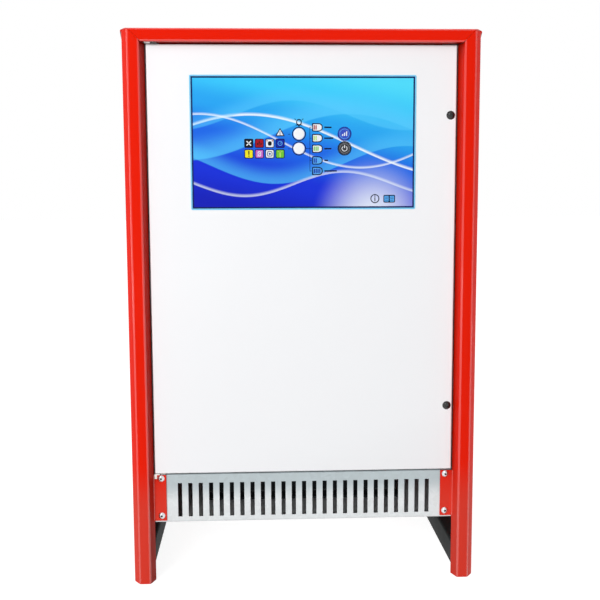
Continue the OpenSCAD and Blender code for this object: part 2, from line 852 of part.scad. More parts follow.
module door() {
    color("white") place() difference() {
        door_form(0);
        door_form(sheet);
        for (z = [lock_low_z, lock_high_z])
            rod_y(lock_x, z, lock_r + screw_play, door_in - cut, door_back + cut);
        for (z = [low_z, high_z]) {
            rod_y(lamp_x, z, lens_r, door_in - cut, door_back + cut);
            rod_y(key_x, z, key_r + key_gap, door_in - cut, door_back + cut);
        }
        translate([hinge_x, hinge_y, door_z - cut])
            cylinder(r = pin_r + pin_play, h = door_top - door_z + 2 * cut);
    }
}

module door_screw(z) {
    button_screw(lock_x, z, door_in, lock_head_r, lock_head_h, lock_r, lock_l, lock_key);
}

module door_screw_upper() {
    color("black") place() door_screw(lock_high_z);
}

module door_screw_lower() {
    color("black") place() door_screw(lock_low_z);
}

// Printed overlay on the door, with holes for the lamps and the keys
module control_overlay() {
    color("royalblue") place() along_y(door_in - overlay_t, door_in) difference() {
        translate([overlay_x, overlay_z]) round_rect(overlay_w, overlay_h, overlay_r);
        for (z = [low_z, high_z]) {
            translate([lamp_x, z]) circle(lens_r);
            translate([key_x, z]) circle(key_r + key_gap);
        }
    }
}

// The rounded front edge of a lens or key of radius r, as points from the middle outwards
function soft_corner(r, front, soft) = [for (k = [0:bend_steps])
    [r - soft + soft * sin(90 * k / bend_steps), front + soft - soft * cos(90 * k / bend_steps)]];

lens_back = lens_proud + overlay_t + sheet;

// Diffusing lamp window: a shallow cup with a rim behind the door
module lamp_lens(z) {
    translate([lamp_x, door_in - overlay_t - lens_proud, z]) rotate([-90, 0, 0]) {
        difference() {
            rotate_extrude() polygon(concat([[0, 0]], soft_corner(lens_r, 0, lens_soft),
                [[lens_r, lens_back], [lens_r + lens_rim, lens_back],
                    [lens_r + lens_rim, lens_back + lens_wall], [0, lens_back + lens_wall]]));
            translate([0, 0, lens_wall]) cylinder(r = lens_r - lens_wall, h = lens_back + lens_wall);
        }
    }
}

module lamp_lens_upper() {
    color("white") place() lamp_lens(high_z);
}

module lamp_lens_lower() {
    color("white") place() lamp_lens(low_z);
}

// Round key: cap, collar behind the door and stem towards its switch
module key(z) {
    front = door_in - overlay_t - key_proud;
    translate([key_x, front, z]) rotate([-90, 0, 0]) rotate_extrude()
        polygon(concat([[0, key_dish]], soft_corner(key_r, 0, key_soft),
            [[key_r, key_back - front], [key_collar_r, key_back - front],
                [key_collar_r, key_back + collar_t - front], [key_pin_r, key_back + collar_t - front],
                [key_pin_r, key_stem_y - front], [0, key_stem_y - front]]));
}

module equalise_button() {
    color("dodgerblue") place() key(high_z);
}

module power_button() {
    color("black") place() key(low_z);
}

// Control board with its lamps, switches and chips
module control_board() {
    color("green") place() {
        difference() {
            block(board_x - board_w / 2, board_y, board_z - board_h / 2, board_w, board_t, board_h);
            for (p = board_corners) rod_y(p[0], p[1], board_screw_r, board_y - cut, board_y + board_t + cut);
        }
        for (z = [low_z, high_z]) {
            block(key_x - switch_w / 2, board_y - switch_h, z - switch_w / 2, switch_w, switch_h, switch_w);
            rod_y(lamp_x, z, led_r, key_back + 4, board_y);
        }
        for (i = [0:chip_n - 1])
            translate([board_x + (i - (chip_n - 1) / 2) * chip_pitch - chip[0] / 2, board_rear, chip_z])
                cube(chip);
        for (i = [0:small_n - 1])
            translate([board_x + (i - (small_n - 1) / 2) * small_pitch - small[0] / 2, board_rear, small_z])
                cube(small);
    }
}

chip_n = 3;
chip = [16, 3, 10];
chip_pitch = 30;
chip_z = board_z - 20;
small_n = 8;
small = [6, 2, 3];
small_pitch = 12;
small_z = board_z + 8;
relay_n = 3;
relay = [16, 16, 28];
capacitor_n = 4;
capacitor_r = 5;
capacitor_h = 14;
connector_n = 3;
connector = [34, 11, 9];
way_n = 5;
way_pitch = 6.2;
way_r = 1.6;
board_corners = [for (i = [-1, 1], j = [-1, 1])
    [board_x + i * (board_w / 2 - standoff_in), board_z + j * (board_h / 2 - standoff_in)]];

module board_standoffs() {
    color("gold") place() for (p = board_corners) difference() {
        translate([p[0], door_back, p[1]]) rotate([-90, 0, 0])
            cylinder(r = standoff_r, h = board_y - door_back, $fn = 6);
        rod_y(p[0], p[1], board_screw_r, board_y - screw_l, board_y + cut);
    }
}

module board_screws() {
    color("silver") place() for (p = board_corners)
        translate([0, 2 * board_rear, 0]) mirror([0, 1, 0])
            button_screw(p[0], p[1], board_rear, 2.8, 1.8, board_screw_r - screw_play / 2,
                screw_l - cut, 1.8);
}

module board_relays() {
    color("steelblue") place() for (i = [0:relay_n - 1])
        translate([board_x + 14 + i * (relay[0] + 6), board_rear, board_z - board_h / 2 + 9]) cube(relay);
}

module board_capacitors() {
    color("black") place() for (i = [0:capacitor_n - 1])
        rod_y(board_x - 70 + i * 14, board_z - 42, capacitor_r, board_rear, board_rear + capacitor_h);
}

module board_connectors() {
    color("limegreen") place() for (i = [-1:connector_n - 2])
        translate([board_x + i * (connector[0] + 8), board_rear, board_z + board_h / 2 - 24]) difference() {
            translate([-connector[0] / 2, 0, 0]) cube(connector);
            for (k = [0:way_n - 1]) rod_y((k - (way_n - 1) / 2) * way_pitch, connector[2] / 2, way_r,
                connector[1] / 2, connector[1] + cut);
        }
}

// Three-legged transformer core with holes for its clamping bolts
module transformer_core() {
    color("dimgray") place() difference() {
        along_y(core_y, core_y + stack_d) difference() {
            translate([-core_w / 2, core_z]) square([core_w, core_h]);
            for (i = [-1, 1]) translate([i * coil_pitch / 2 - core_gap / 2, core_z + leg_w])
                square([core_gap, window_h]);
        }
        for (x = bolt_xs, z = bolt_zs)
            rod_y(x, z, core_bolt_r + bolt_play, core_y - cut, core_y + stack_d + cut);
    }
}

bolt_zs = [core_z + leg_w / 2, core_z + core_h - leg_w / 2];

// Angle bars on both faces of a yoke; the lower ones stand on the floor
module clamp(z, foot_z) {
    for (i = [0, 1]) translate([0, core_y + stack_d / 2, 0]) mirror([0, i, 0])
        translate([0, -core_y - stack_d / 2, 0]) difference() {
            along_x(-core_w / 2 - clamp_over, core_w / 2 + clamp_over)
                folded([[core_y - clamp_t / 2, z], [core_y - clamp_t / 2, foot_z],
                    [core_y - clamp_foot, foot_z]], clamp_t, [0, clamp_t, 0]);
            for (x = bolt_xs, bz = bolt_zs)
                rod_y(x, bz, core_bolt_r + bolt_play, core_y - clamp_foot, core_y + cut);
        }
}

module core_clamps_lower() {
    color("slategray") place() clamp(core_z + clamp_h + clamp_up, tray_top + clamp_t / 2);
}

module core_clamps_upper() {
    color("slategray") place() clamp(core_z + core_h - clamp_h - clamp_up, core_z + core_h + clamp_lip);
}

module core_bolts() {
    color("silver") place() for (x = bolt_xs, z = bolt_zs) {
        rod_y(x, z, core_bolt_r, core_y - clamp_t - cut, core_y + stack_d + clamp_t + cut);
        for (y = [core_y - clamp_t - bolt_head, core_y + stack_d + clamp_t])
            translate([x, y, z]) rotate([-90, 0, 0])
                cylinder(r = core_bolt_r + bolt_hex, h = bolt_head, $fn = 6);
    }
}

// Winding on its bobbin, round one leg of the core
module coil(x) {
    coil_w = leg_w + 2 * coil_out;
    coil_d = stack_d + 2 * coil_out;
    coil_h = window_h - 2 * coil_gap;
    translate([x, core_y + stack_d / 2, core_z + leg_w + coil_gap]) difference() {
        union() {
            translate([0, 0, bobbin_t]) linear_extrude(coil_h - 2 * bobbin_t)
                round_rect(coil_w, coil_d, coil_r);
            for (z = [0, coil_h - bobbin_t]) translate([0, 0, z]) linear_extrude(bobbin_t)
                round_rect(coil_w + 2 * flange_out, coil_d + 2 * flange_out, coil_r);
        }
        translate([0, 0, coil_h / 2])
            cube([leg_w + coil_play, stack_d + coil_play, coil_h + 2 * cut], center = true);
    }
}

module coil_left() {
    color("chocolate") place() coil(-coil_pitch);
}

module coil_centre() {
    color("chocolate") place() coil(0);
}

module coil_right() {
    color("chocolate") place() coil(coil_pitch);
}

// Mounting plate across the cabinet, with a window for the cooling fins
module mounting_plate() {
    color("silver") place() difference() {
        translate([0, 0, plate_z0]) linear_extrude(plate_z1 - plate_z0)
            folded([[-wall_x + plate_t / 2, plate_y + plate_fold],
                [-wall_x + plate_t / 2, plate_y + plate_t / 2],
                [wall_x - plate_t / 2, plate_y + plate_t / 2], [wall_x - plate_t / 2, plate_y + plate_fold]],
                plate_t, [0, bend_mid, bend_mid, 0]);
        block(sink_x - sink_w / 2 + window_in, plate_y - cut, sink_z - sink_h / 2 + window_in,
            sink_w - 2 * window_in, plate_t + 2 * cut, sink_h - 2 * window_in);
    }
}

// Extruded heat sink: its fins pass back through the plate's window
module rectifier_heatsink() {
    color("lightgray") place() {
        block(sink_x - sink_w / 2, sink_y, sink_z - sink_h / 2, sink_w, sink_t, sink_h);
        for (i = [0:fin_count - 1])
            block(sink_x + (i - (fin_count - 1) / 2) * fin_pitch - fin_t / 2, sink_y + sink_t - cut,
                sink_z - sink_h / 2 + window_in + cut, fin_t, fin_d, sink_h - 2 * window_in - 2 * cut);
    }
}

// Rectifier modules with two screwed poles each
module diode_modules() {
    color("dimgray") place() for (z = module_zs) difference() {
        union() {
            block(sink_x - module_w / 2, sink_y - module_base, z - module_h / 2, module_w, module_base,
                module_h);
            block(sink_x - module_w / 2 + module_step, sink_y - module_d, z - module_h / 2 + module_step / 2,
                module_w - 2 * module_step, module_d - cut, module_h - module_step);
            for (i = [-1, 1])
                rod_y(sink_x + i * pole_dx, z, bar_w / 2 - pole_h, sink_y - module_d - pole_h,
                    sink_y - module_base);
        }
        for (i = [-1, 1])
            rod_y(sink_x + i * (module_w - module_step) / 2, z, rear_screw_r, sink_y - module_base - cut,
                sink_y + cut);
    }
}

// Copper bar across the three poles of one side, with its screws
bus_y = sink_y - module_d - pole_h - bar_t;
bus_l = module_zs[module_n - 1] - module_zs[0];

module busbar(x) {
    block(x - bar_w / 2, bus_y, module_zs[0] - bar_tail, bar_w, bar_t, bus_l + bar_tail + bar_w);
    for (z = module_zs) translate([x, bus_y - stud_r, z]) rotate([-90, 0, 0])
        cylinder(r = 2 * stud_r, h = stud_r, $fn = 6);
}

module busbar_positive() {
    color("orangered") place() busbar(sink_x + pole_dx);
}

module busbar_negative() {
    color("orangered") place() busbar(sink_x - pole_dx);
}

// Top-hat rail on the plate
module din_rail() {
    color("silver") place() along_x(din_x0, din_x1)
        folded([[gear_y + din_t / 2, din_z - din_h / 2], [gear_y + din_t / 2, din_z - din_h / 2 + din_lip],
            [plate_y - din_t / 2, din_z - din_h / 2 + din_lip],
            [plate_y - din_t / 2, din_z + din_h / 2 - din_lip],
            [gear_y + din_t / 2, din_z + din_h / 2 - din_lip], [gear_y + din_t / 2, din_z + din_h / 2]],
            din_t, same(6, din_t));
}

// Body of a device that stands on the rail, with steps towards its front
module rail_device(x, size) {
    block(x, gear_y - size[1] * body_share, din_z - size[2] / 2, size[0], size[1] * body_share, size[2]);
    block(x, gear_y - size[1], din_z - size[2] * nose_share / 2, size[0], size[1], size[2] * nose_share);
}

// Two screw holes in a device's shoulders, above and below its nose
module device_holes(x, size, r) {
    for (j = [-1, 1]) rod_y(x, din_z + j * size[2] * 0.4, r, gear_y - size[1] * body_share - cut,
        gear_y - size[1] * body_share + 3 * r);
}

module contactor() {
    color("dimgray") place() difference() {
        union() {
            rail_device(contactor_x, contactor);
            block(contactor_x + contactor[0] / 4, gear_y - contactor[1] - 4, din_z - contactor[2] / 6,
                contactor[0] / 2, 5, contactor[2] / 3);
        }
        for (i = [-1:1])
            device_holes(contactor_x + contactor[0] * (0.5 + 0.32 * i), contactor, 2 * terminal_hole_r);
    }
}

module fuse_holders() {
    color("lightgray") place() for (i = [0:fuse_n - 1]) difference() {
        union() {
            rail_device(fuse_x + i * fuse_pitch, fuse_holder);
            block(fuse_x + i * fuse_pitch + fuse_holder[0] / 4, gear_y - fuse_holder[1] - 6,
                din_z - fuse_holder[2] / 5, fuse_holder[0] / 2, 7, fuse_holder[2] / 4);
        }
        device_holes(fuse_x + i * fuse_pitch + fuse_holder[0] / 2, fuse_holder, 1.5 * terminal_hole_r);
    }
}

module terminal_block() {
    color("lightgray") place() for (i = [0:terminal_n - 1]) difference() {
        rail_device(terminal_x + i * terminal_pitch, terminal);
        device_holes(terminal_x + i * terminal_pitch + terminal[0] / 2, terminal, terminal_hole_r);
    }
}

// Bolted battery fuse on its insulating base
fuse_z = plate_z0 + 0.12 * plate_h;
fuse_base = [104, 14, 36];
fuse_y = plate_y - fuse_base[1];
fuse_mid_x = 80;
fuse_reach = 38;
shunt_block = [24, 16, 28];
shunt_reach = 36;

module battery_fuse() {
    color("ivory") place() {
        translate([fuse_mid_x - fuse_base[0] / 2, fuse_y, fuse_z - fuse_base[2] / 2]) cube(fuse_base);
        for (x = [fuse_mid_x - fuse_reach, fuse_mid_x + fuse_reach]) {
            translate([x, fuse_y - 6, fuse_z]) rotate([-90, 0, 0]) cylinder(r = 7, h = 6, $fn = 6);
            block(x - 10, fuse_y - 9, fuse_z - 9, 20, bar_t, 18);
            rod_y(x, fuse_z, 4, fuse_y - 18, fuse_y - 8);
        }
        along_x(fuse_mid_x - fuse_reach + 10, fuse_mid_x + fuse_reach - 10)
            translate([fuse_y - 12, fuse_z]) round_rect(24, 26, 5);
    }
}

// Shunt: two brass blocks and the strip between them
module current_shunt() {
    color("goldenrod") place() {
        for (i = [-1, 1]) translate([sink_x + i * shunt_reach, plate_y - shunt_block[1] / 2, fuse_z])
            cube(shunt_block, center = true);
        for (i = [-1:1]) translate([sink_x, plate_y - shunt_block[1] / 2, fuse_z + i * 9])
            cube([2 * shunt_reach - shunt_block[0] + cut, 6, 3], center = true);
    }
}

// Earth stud on the floor of the body
module earth_stud() {
    color("gold") place() translate([wall_x - 40, rear_y - 50, tray_top]) {
        cylinder(r = stud_r, h = 8 * stud_r);
        for (z = [0, 3 * stud_r]) translate([0, 0, z]) cylinder(r = 6.5, h = 5, $fn = 6);
        translate([0, 0, 7]) cylinder(r = 8, h = 1.4);
    }
}

side_panel_left();
side_panel_right();
top_cover();
base_rail_left();
base_rail_right();
chassis_tray();
front_grille();
grille_screws();
door_post_left();
door_post_right();
door_seal_left();
door_seal_right();
hinge_bracket_upper();
hinge_bracket_lower();
hinge_pin_upper();
hinge_pin_lower();
rear_panel();
rear_screws();
cover_screws();
mains_gland();
battery_gland();
gland_nuts();
door();
door_screw_upper();
door_screw_lower();
control_overlay();
lamp_lens_upper();
lamp_lens_lower();
equalise_button();
power_button();
control_board();
board_standoffs();
board_screws();
board_relays();
board_capacitors();
board_connectors();
transformer_core();
core_clamps_lower();
core_clamps_upper();
core_bolts();
coil_left();
coil_centre();
coil_right();
mounting_plate();
rectifier_heatsink();
diode_modules();
busbar_positive();
busbar_negative();
din_rail();
contactor();
fuse_holders();
terminal_block();
battery_fuse();
current_shunt();
earth_stud();
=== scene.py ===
"""Looks of a floor-standing battery charger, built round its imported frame.

The frame holds every piece at its real size and place. This script gives each piece its finish,
prints the control panel, winds the coils, dresses the board and sets up a plain studio.
"""

from __future__ import annotations

import json
import logging
import math
from dataclasses import dataclass, field
from enum import Enum
from typing import Sequence

import bpy
import numpy as np
from mathutils import Matrix, Vector

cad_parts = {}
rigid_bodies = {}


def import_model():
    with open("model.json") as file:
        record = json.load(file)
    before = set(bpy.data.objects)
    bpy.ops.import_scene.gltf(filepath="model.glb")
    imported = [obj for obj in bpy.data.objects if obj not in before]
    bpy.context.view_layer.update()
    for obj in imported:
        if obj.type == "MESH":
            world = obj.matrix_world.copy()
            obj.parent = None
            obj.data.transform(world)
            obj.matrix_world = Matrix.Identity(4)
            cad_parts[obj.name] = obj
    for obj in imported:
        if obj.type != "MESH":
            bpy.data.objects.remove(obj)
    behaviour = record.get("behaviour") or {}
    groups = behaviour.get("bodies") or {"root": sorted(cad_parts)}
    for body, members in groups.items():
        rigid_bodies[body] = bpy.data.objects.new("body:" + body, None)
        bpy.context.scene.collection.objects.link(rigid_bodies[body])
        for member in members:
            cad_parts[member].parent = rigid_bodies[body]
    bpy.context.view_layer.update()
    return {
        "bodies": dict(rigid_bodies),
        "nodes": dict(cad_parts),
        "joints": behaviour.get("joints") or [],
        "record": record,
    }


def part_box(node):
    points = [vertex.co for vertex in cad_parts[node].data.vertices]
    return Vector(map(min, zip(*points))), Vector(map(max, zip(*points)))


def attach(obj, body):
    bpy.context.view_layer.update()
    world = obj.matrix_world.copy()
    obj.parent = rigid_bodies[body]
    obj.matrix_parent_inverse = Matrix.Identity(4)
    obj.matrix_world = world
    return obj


LOG = logging.getLogger("charger")
MM = 0.001

Colour = tuple[float, float, float]
Point = tuple[float, float]
Socket = bpy.types.NodeSocket


class Body(Enum):
    """The rigid bodies of the charger that pieces ride on."""

    CABINET = "cabinet"
    DOOR = "door"
    EQUALISE = "equalise_button"
    POWER = "power_button"


class Ink(Enum):
    """Printing inks of the control panel, as linear colours."""

    NAVY = (0.003, 0.008, 0.040)
    BLACK = (0.006, 0.007, 0.010)
    WHITE = (0.830, 0.860, 0.900)
    RED = (0.380, 0.006, 0.016)
    YELLOW = (0.850, 0.760, 0.020)
    MAGENTA = (0.560, 0.130, 0.560)
    GREEN = (0.160, 0.540, 0.040)
    LIME = (0.450, 0.720, 0.120)
    BLUE = (0.008, 0.020, 0.360)
    SKY = (0.100, 0.400, 0.860)
    SILVER = (0.220, 0.230, 0.250)


def srgb(code: str) -> Colour:
    """Turns a screen colour into a linear one.

    Args:
        code: six hexadecimal digits, red first.

    Returns:
        The linear red, green and blue.
    """
    parts = [int(code[i:i + 2], 16) / 255 for i in (0, 2, 4)]
    return tuple(p / 12.92 if p <= 0.04045 else ((p + 0.055) / 1.055) ** 2.4 for p in parts)


def scaled(colour: Colour, factor: float, lift: float = 0.0) -> Colour:
    """A darker or lighter version of a linear colour.

    Args:
        colour: the colour to start from.
        factor: what each channel is multiplied by.
        lift: what is then added to each channel.

    Returns:
        The new colour, with no channel above one.
    """
    return tuple(min(1.0, c * factor + lift) for c in colour)


def middle(node: str) -> Point:
    """Returns where the middle of a node is, across and up, in millimetres."""
    low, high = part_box(node)
    return (low.x + high.x) / 2 / MM, (low.z + high.z) / 2 / MM


def moved(at: Point, across: float, up: float) -> Point:
    """Returns the point that lies so far across and up from another."""
    return at[0] + across, at[1] + up


CHIP_BLACK = srgb("1D1E20")


class Graph:
    """A material's node tree with short calls for the nodes that the finishes share."""

    def __init__(self, name: str) -> None:
        """Starts a material with one Principled shader.

        Args:
            name: the material's name.
        """
        self.material = bpy.data.materials.new(name)
        self.material.use_nodes = True
        self.tree = self.material.node_tree
        self.tree.nodes.clear()
        self.output = self.tree.nodes.new("ShaderNodeOutputMaterial")
        self.shader = self.tree.nodes.new("ShaderNodeBsdfPrincipled")
        self.tree.links.new(self.shader.outputs["BSDF"], self.output.inputs["Surface"])

    def add(self, kind: str, inputs: dict | None = None, **settings: object) -> bpy.types.Node:
        """Adds a node.

        Args:
            kind: Blender's name of the node type.
            inputs: socket name or index to a plain value, or to the socket that feeds it.
            settings: attributes of the node itself.

        Returns:
            The new node.
        """
        node = self.tree.nodes.new(kind)
        for key, value in settings.items():
            setattr(node, key, value)
        for key, value in (inputs or {}).items():
            self.feed(node.inputs[key], value)
        return node

    def feed(self, socket: Socket, value: object) -> None:
        """Links a socket to another one, or sets its plain value.

        Args:
            socket: the input to fill.
            value: an output socket, a number or a colour.
        """
        if isinstance(value, Socket):
            self.tree.links.new(value, socket)
        elif isinstance(value, tuple) and len(value) == 3 and socket.type == "RGBA":
            socket.default_value = (*value, 1.0)
        else:
            socket.default_value = value

    def set(self, **values: object) -> None:
        """Fills sockets of the Principled shader; underscores stand for blanks."""
        for key, value in values.items():
            self.feed(self.shader.inputs[key.replace("_", " ")], value)

    def place(self, centre: Sequence[float] = (0.0, 0.0, 0.0)) -> Socket:
        """Object coordinates, counted from a point.

        Args:
            centre: the point, in metres, that becomes the origin.

        Returns:
            The vector output.
        """
        coords = self.add("ShaderNodeTexCoord").outputs["Object"]
        back = tuple(-c for c in centre)
        return self.add("ShaderNodeMapping", {"Vector": coords, "Location": back}).outputs["Vector"]

    def axes(self, vector: Socket) -> bpy.types.NodeOutputs:
        """Returns the outputs X, Y and Z of a vector."""
        return self.add("ShaderNodeSeparateXYZ", {0: vector}).outputs

    def noise(self, scale: float, detail: float = 2.0) -> Socket:
        """Fractal noise between 0 and 1, read from Object coordinates.

        Args:
            scale: waves per metre.
            detail: number of octaves.

        Returns:
            The noise value's output.
        """
        wanted = {"Scale": scale, "Detail": detail, "Vector": self.place()}
        return self.add("ShaderNodeTexNoise", wanted).outputs[0]

    def math(self, operation: str, a: object, b: object = 0.0) -> Socket:
        """One arithmetic step, such as ADD or MINIMUM.

        Args:
            operation: Blender's name of the operation.
            a: first value or socket.
            b: second value or socket.

        Returns:
            The result's output.
        """
        return self.add("ShaderNodeMath", {0: a, 1: b}, operation=operation).outputs[0]

    def weighted(self, a: Socket, b: Socket, share: float) -> Socket:
        """The mean of two patterns, each with its weight.

        Args:
            a: first pattern.
            b: second pattern.
            share: weight of the second pattern, 0 to 1.

        Returns:
            The result's output.
        """
        return self.math("ADD", self.math("MULTIPLY", a, 1 - share), self.math("MULTIPLY", b, share))

    def height(self, pattern: Socket, swing: float) -> Socket:
        """Height over the floor, made uneven by a pattern.

        Args:
            pattern: values between 0 and 1.
            swing: the most that the pattern adds, in metres.

        Returns:
            The height's output.
        """
        return self.math("ADD", self.axes(self.place())["Z"], self.math("MULTIPLY", pattern, swing))

    def openness(self, reach: float) -> Socket:
        """One where a surface lies open, and towards zero in its inner corners.

        Args:
            reach: how near a neighbour has to be, in metres.

        Returns:
            The value's output.
        """
        return self.add("ShaderNodeAmbientOcclusion", {"Distance": reach}, samples=8).outputs["AO"]

    def span(self, value: object, low: float, high: float, to: Point = (0.0, 1.0),
             smooth: bool = True) -> Socket:
        """Maps a range of values to another, with soft ends.

        Args:
            value: the socket to read.
            low: where the step starts.
            high: where it ends.
            to: results at the two ends.
            smooth: eases in and out.

        Returns:
            The result's output.
        """
        wanted = {"Value": value, "From Min": low, "From Max": high, "To Min": to[0], "To Max": to[1]}
        way = "SMOOTHSTEP" if smooth else "LINEAR"
        return self.add("ShaderNodeMapRange", wanted, interpolation_type=way).outputs["Result"]

    def mix(self, factor: object, a: object, b: object, blend: str = "MIX") -> Socket:
        """Blends two colours.

        Args:
            factor: share of the second colour.
            a: first colour or socket.
            b: second colour or socket.
            blend: Blender's blend type.

        Returns:
            The colour's output.
        """
        node = self.add("ShaderNodeMix", {0: factor, 6: a, 7: b}, data_type="RGBA", blend_type=blend)
        return node.outputs[2]

    def ramp(self, value: object, stops: Sequence[tuple[float, Colour]]) -> Socket:
        """Colour along a scale.

        Args:
            value: where on the scale, 0 to 1.
            stops: places with their colours.

        Returns:
            The colour's output.
        """
        node = self.add("ShaderNodeValToRGB", {0: value})
        ramp = node.color_ramp
        ramp.interpolation = "EASE"
        while len(ramp.elements) < len(stops):
            ramp.elements.new(1.0)
        for element, (at, colour) in zip(ramp.elements, stops):
            element.position = at
            element.color = (*colour, 1.0)
        return node.outputs["Color"]

    def bump(self, height: object, depth: float, strength: float = 1.0,
             under: Socket | None = None) -> Socket:
        """Feeds a height pattern to the shader's normal.

        Args:
            height: pattern between 0 and 1.
            depth: height of the pattern in metres.
            strength: 0 to 1.
            under: normal of a coarser bump below this one.

        Returns:
            The normal's output.
        """
        wanted = {"Height": height, "Distance": depth, "Strength": strength}
        if under is not None:
            wanted["Normal"] = under
        normal = self.add("ShaderNodeBump", wanted).outputs["Normal"]
        self.feed(self.shader.inputs["Normal"], normal)
        return normal


@dataclass(frozen=True)
class PowderCoat:
    """Baked powder paint: a fine orange peel under a soft gloss, with a slight drift in colour.

    Where a colour for the painted floor reflection is given, the paint turns into it towards the floor:
    a paler tone painted on as the reflection of the white floor, which also covers the painted shade
    there. Where a reach for painted shade is given, inner corners of about that depth are painted
    darker as shade. The bends of a folded sheet have a gloss of their own.
    """

    name: str
    colour: Colour
    roughness: float = 0.32
    gloss: float = 0.1
    peel: float = 520.0
    peel_depth: float = 0.05 * MM
    drift: float = 0.03
    shine: float = 0.2
    bend_gloss: float = 0.9
    shade_reach: float = 0.0
    corner_shade_tint: Colour = (0.36, 0.5, 0.5)
    floor_reflection: Colour | None = None
    reflection_top: float = 160 * MM
    reflection_full: float = 95 * MM
    reflection_swing: float = 14 * MM

    def build(self) -> bpy.types.Material:
        """Makes the paint's nodes.

        Returns:
            The paint's material.
        """
        graph = Graph(self.name)
        darker = scaled(self.colour, 1 - self.drift)
        lighter = scaled(self.colour, 1 + self.drift, 0.002)
        paint = graph.mix(graph.noise(5.0, 3.0), darker, lighter)
        # Painted shade: inner corners within the reach are tinted darker.
        if self.shade_reach:
            deep = graph.mix(1.0, paint, self.corner_shade_tint, "MULTIPLY")
            paint = graph.mix(graph.span(graph.openness(self.shade_reach), 0.45, 1.0), deep, paint)
        # Painted reflection: towards the floor the paint turns paler, standing in for the white floor's
        # reflection, and covers the painted shade there.
        if self.floor_reflection:
            height = graph.height(graph.noise(22.0, 3.0), self.reflection_swing)
            paint = graph.mix(graph.span(height, self.reflection_full, self.reflection_top), self.floor_reflection, paint)
        bend = graph.add("ShaderNodeAttribute", attribute_name="bend").outputs["Fac"]
        coat = graph.span(bend, 0.0, 1.0, (self.gloss, self.bend_gloss), False)
        spread = (self.roughness - 0.02, self.roughness + 0.03)
        graph.set(Base_Color=paint, Coat_Weight=coat,
                  Roughness=graph.span(graph.noise(38.0, 4.0), 0.3, 0.7, spread))
        graph.set(Coat_Roughness=0.06, Coat_IOR=1.8, Specular_IOR_Level=self.shine)
        coarse = graph.bump(graph.noise(self.peel), self.peel_depth, 0.25)
        graph.bump(graph.noise(self.peel * 6, 1.0), self.peel_depth * 0.2, 0.2, coarse)
        return graph.material


@dataclass(frozen=True)
class GalvanisedSheet:
    """Hot-dip zinc on steel sheet: crystals of a few millimetres, each with its own brightness.

    The zinc is brightest near the floor; between two heights it fades into a darker, bluer tint of
    painted shade, which stays above them.
    """

    name: str
    colour: Colour
    spangle: float = 150.0
    metal: float = 0.75
    roughness: float = 0.42
    contrast: float = 0.10
    shade_from: float = 100 * MM
    shade_full: float = 126 * MM
    shade_swing: float = 6 * MM
    shade_tint: Colour = (0.64, 0.70, 0.72)

    def build(self) -> bpy.types.Material:
        """Makes the sheet's nodes.

        Returns:
            The sheet's material.
        """
        graph = Graph(self.name)
        wander = graph.add("ShaderNodeTexNoise", {"Scale": 60.0, "Vector": graph.place()}).outputs["Color"]
        warped = graph.add("ShaderNodeMix", {0: 0.012, 4: graph.place(), 5: wander}, data_type="VECTOR")
        cells = graph.add("ShaderNodeTexVoronoi", {"Scale": self.spangle, "Vector": warped.outputs[1]})
        flake = graph.add("ShaderNodeSeparateColor", {0: cells.outputs["Color"]}).outputs[0]
        cloud = graph.noise(14.0, 4.0)
        darker = scaled(self.colour, 1 - self.contrast)
        zinc = graph.mix(graph.weighted(flake, cloud, 0.45), darker, scaled(self.colour, 1 + self.contrast))
        # Painted shade: from a height up, the zinc is tinted darker and bluer, standing in for the shade
        # under the door's lower edge.
        shaded_zinc = graph.mix(1.0, zinc, self.shade_tint, "MULTIPLY")
        shade = graph.span(graph.height(cloud, self.shade_swing), self.shade_from, self.shade_full)
        spread = (self.roughness - 0.08, self.roughness + 0.10)
        graph.set(Base_Color=graph.mix(shade, zinc, shaded_zinc), Metallic=self.metal,
                  Roughness=graph.span(flake, 0.0, 1.0, spread))
        coarse = graph.bump(flake, 0.06 * MM, 0.3)
        graph.bump(graph.noise(900.0), 0.03 * MM, 0.3, coarse)
        return graph.material


@dataclass(frozen=True)
class PlatedSteel:
    """Plated or bare metal with fine tool marks that run every way.

    Where a reach for painted shade is given, gaps narrower than it are painted nearly black as shade,
    and their reflection is dimmed.
    """

    name: str
    colour: Colour
    metal: float = 1.0
    roughness: float = 0.28
    shade_reach: float = 0.0

    def build(self) -> bpy.types.Material:
        """Makes the metal's nodes.

        Returns:
            The metal's material.
        """
        graph = Graph(self.name)
        tone = graph.mix(graph.noise(260.0, 3.0), scaled(self.colour, 0.82), self.colour)
        # Painted shade: narrow gaps are tinted nearly black and their reflection is dimmed.
        if self.shade_reach:
            open_part = graph.span(graph.openness(self.shade_reach), 0.45, 0.85)
            tone = graph.mix(open_part, scaled(self.colour, 0.02), tone)
            graph.set(Specular_Tint=graph.mix(open_part, (0.05, 0.05, 0.05), (1.0, 1.0, 1.0)))
        spread = (self.roughness - 0.08, self.roughness + 0.10)
        graph.set(Base_Color=tone, Metallic=self.metal,
                  Roughness=graph.span(graph.noise(700.0, 3.0), 0.25, 0.75, spread))
        graph.bump(graph.noise(2200.0), 0.02 * MM, 0.35)
        return graph.material


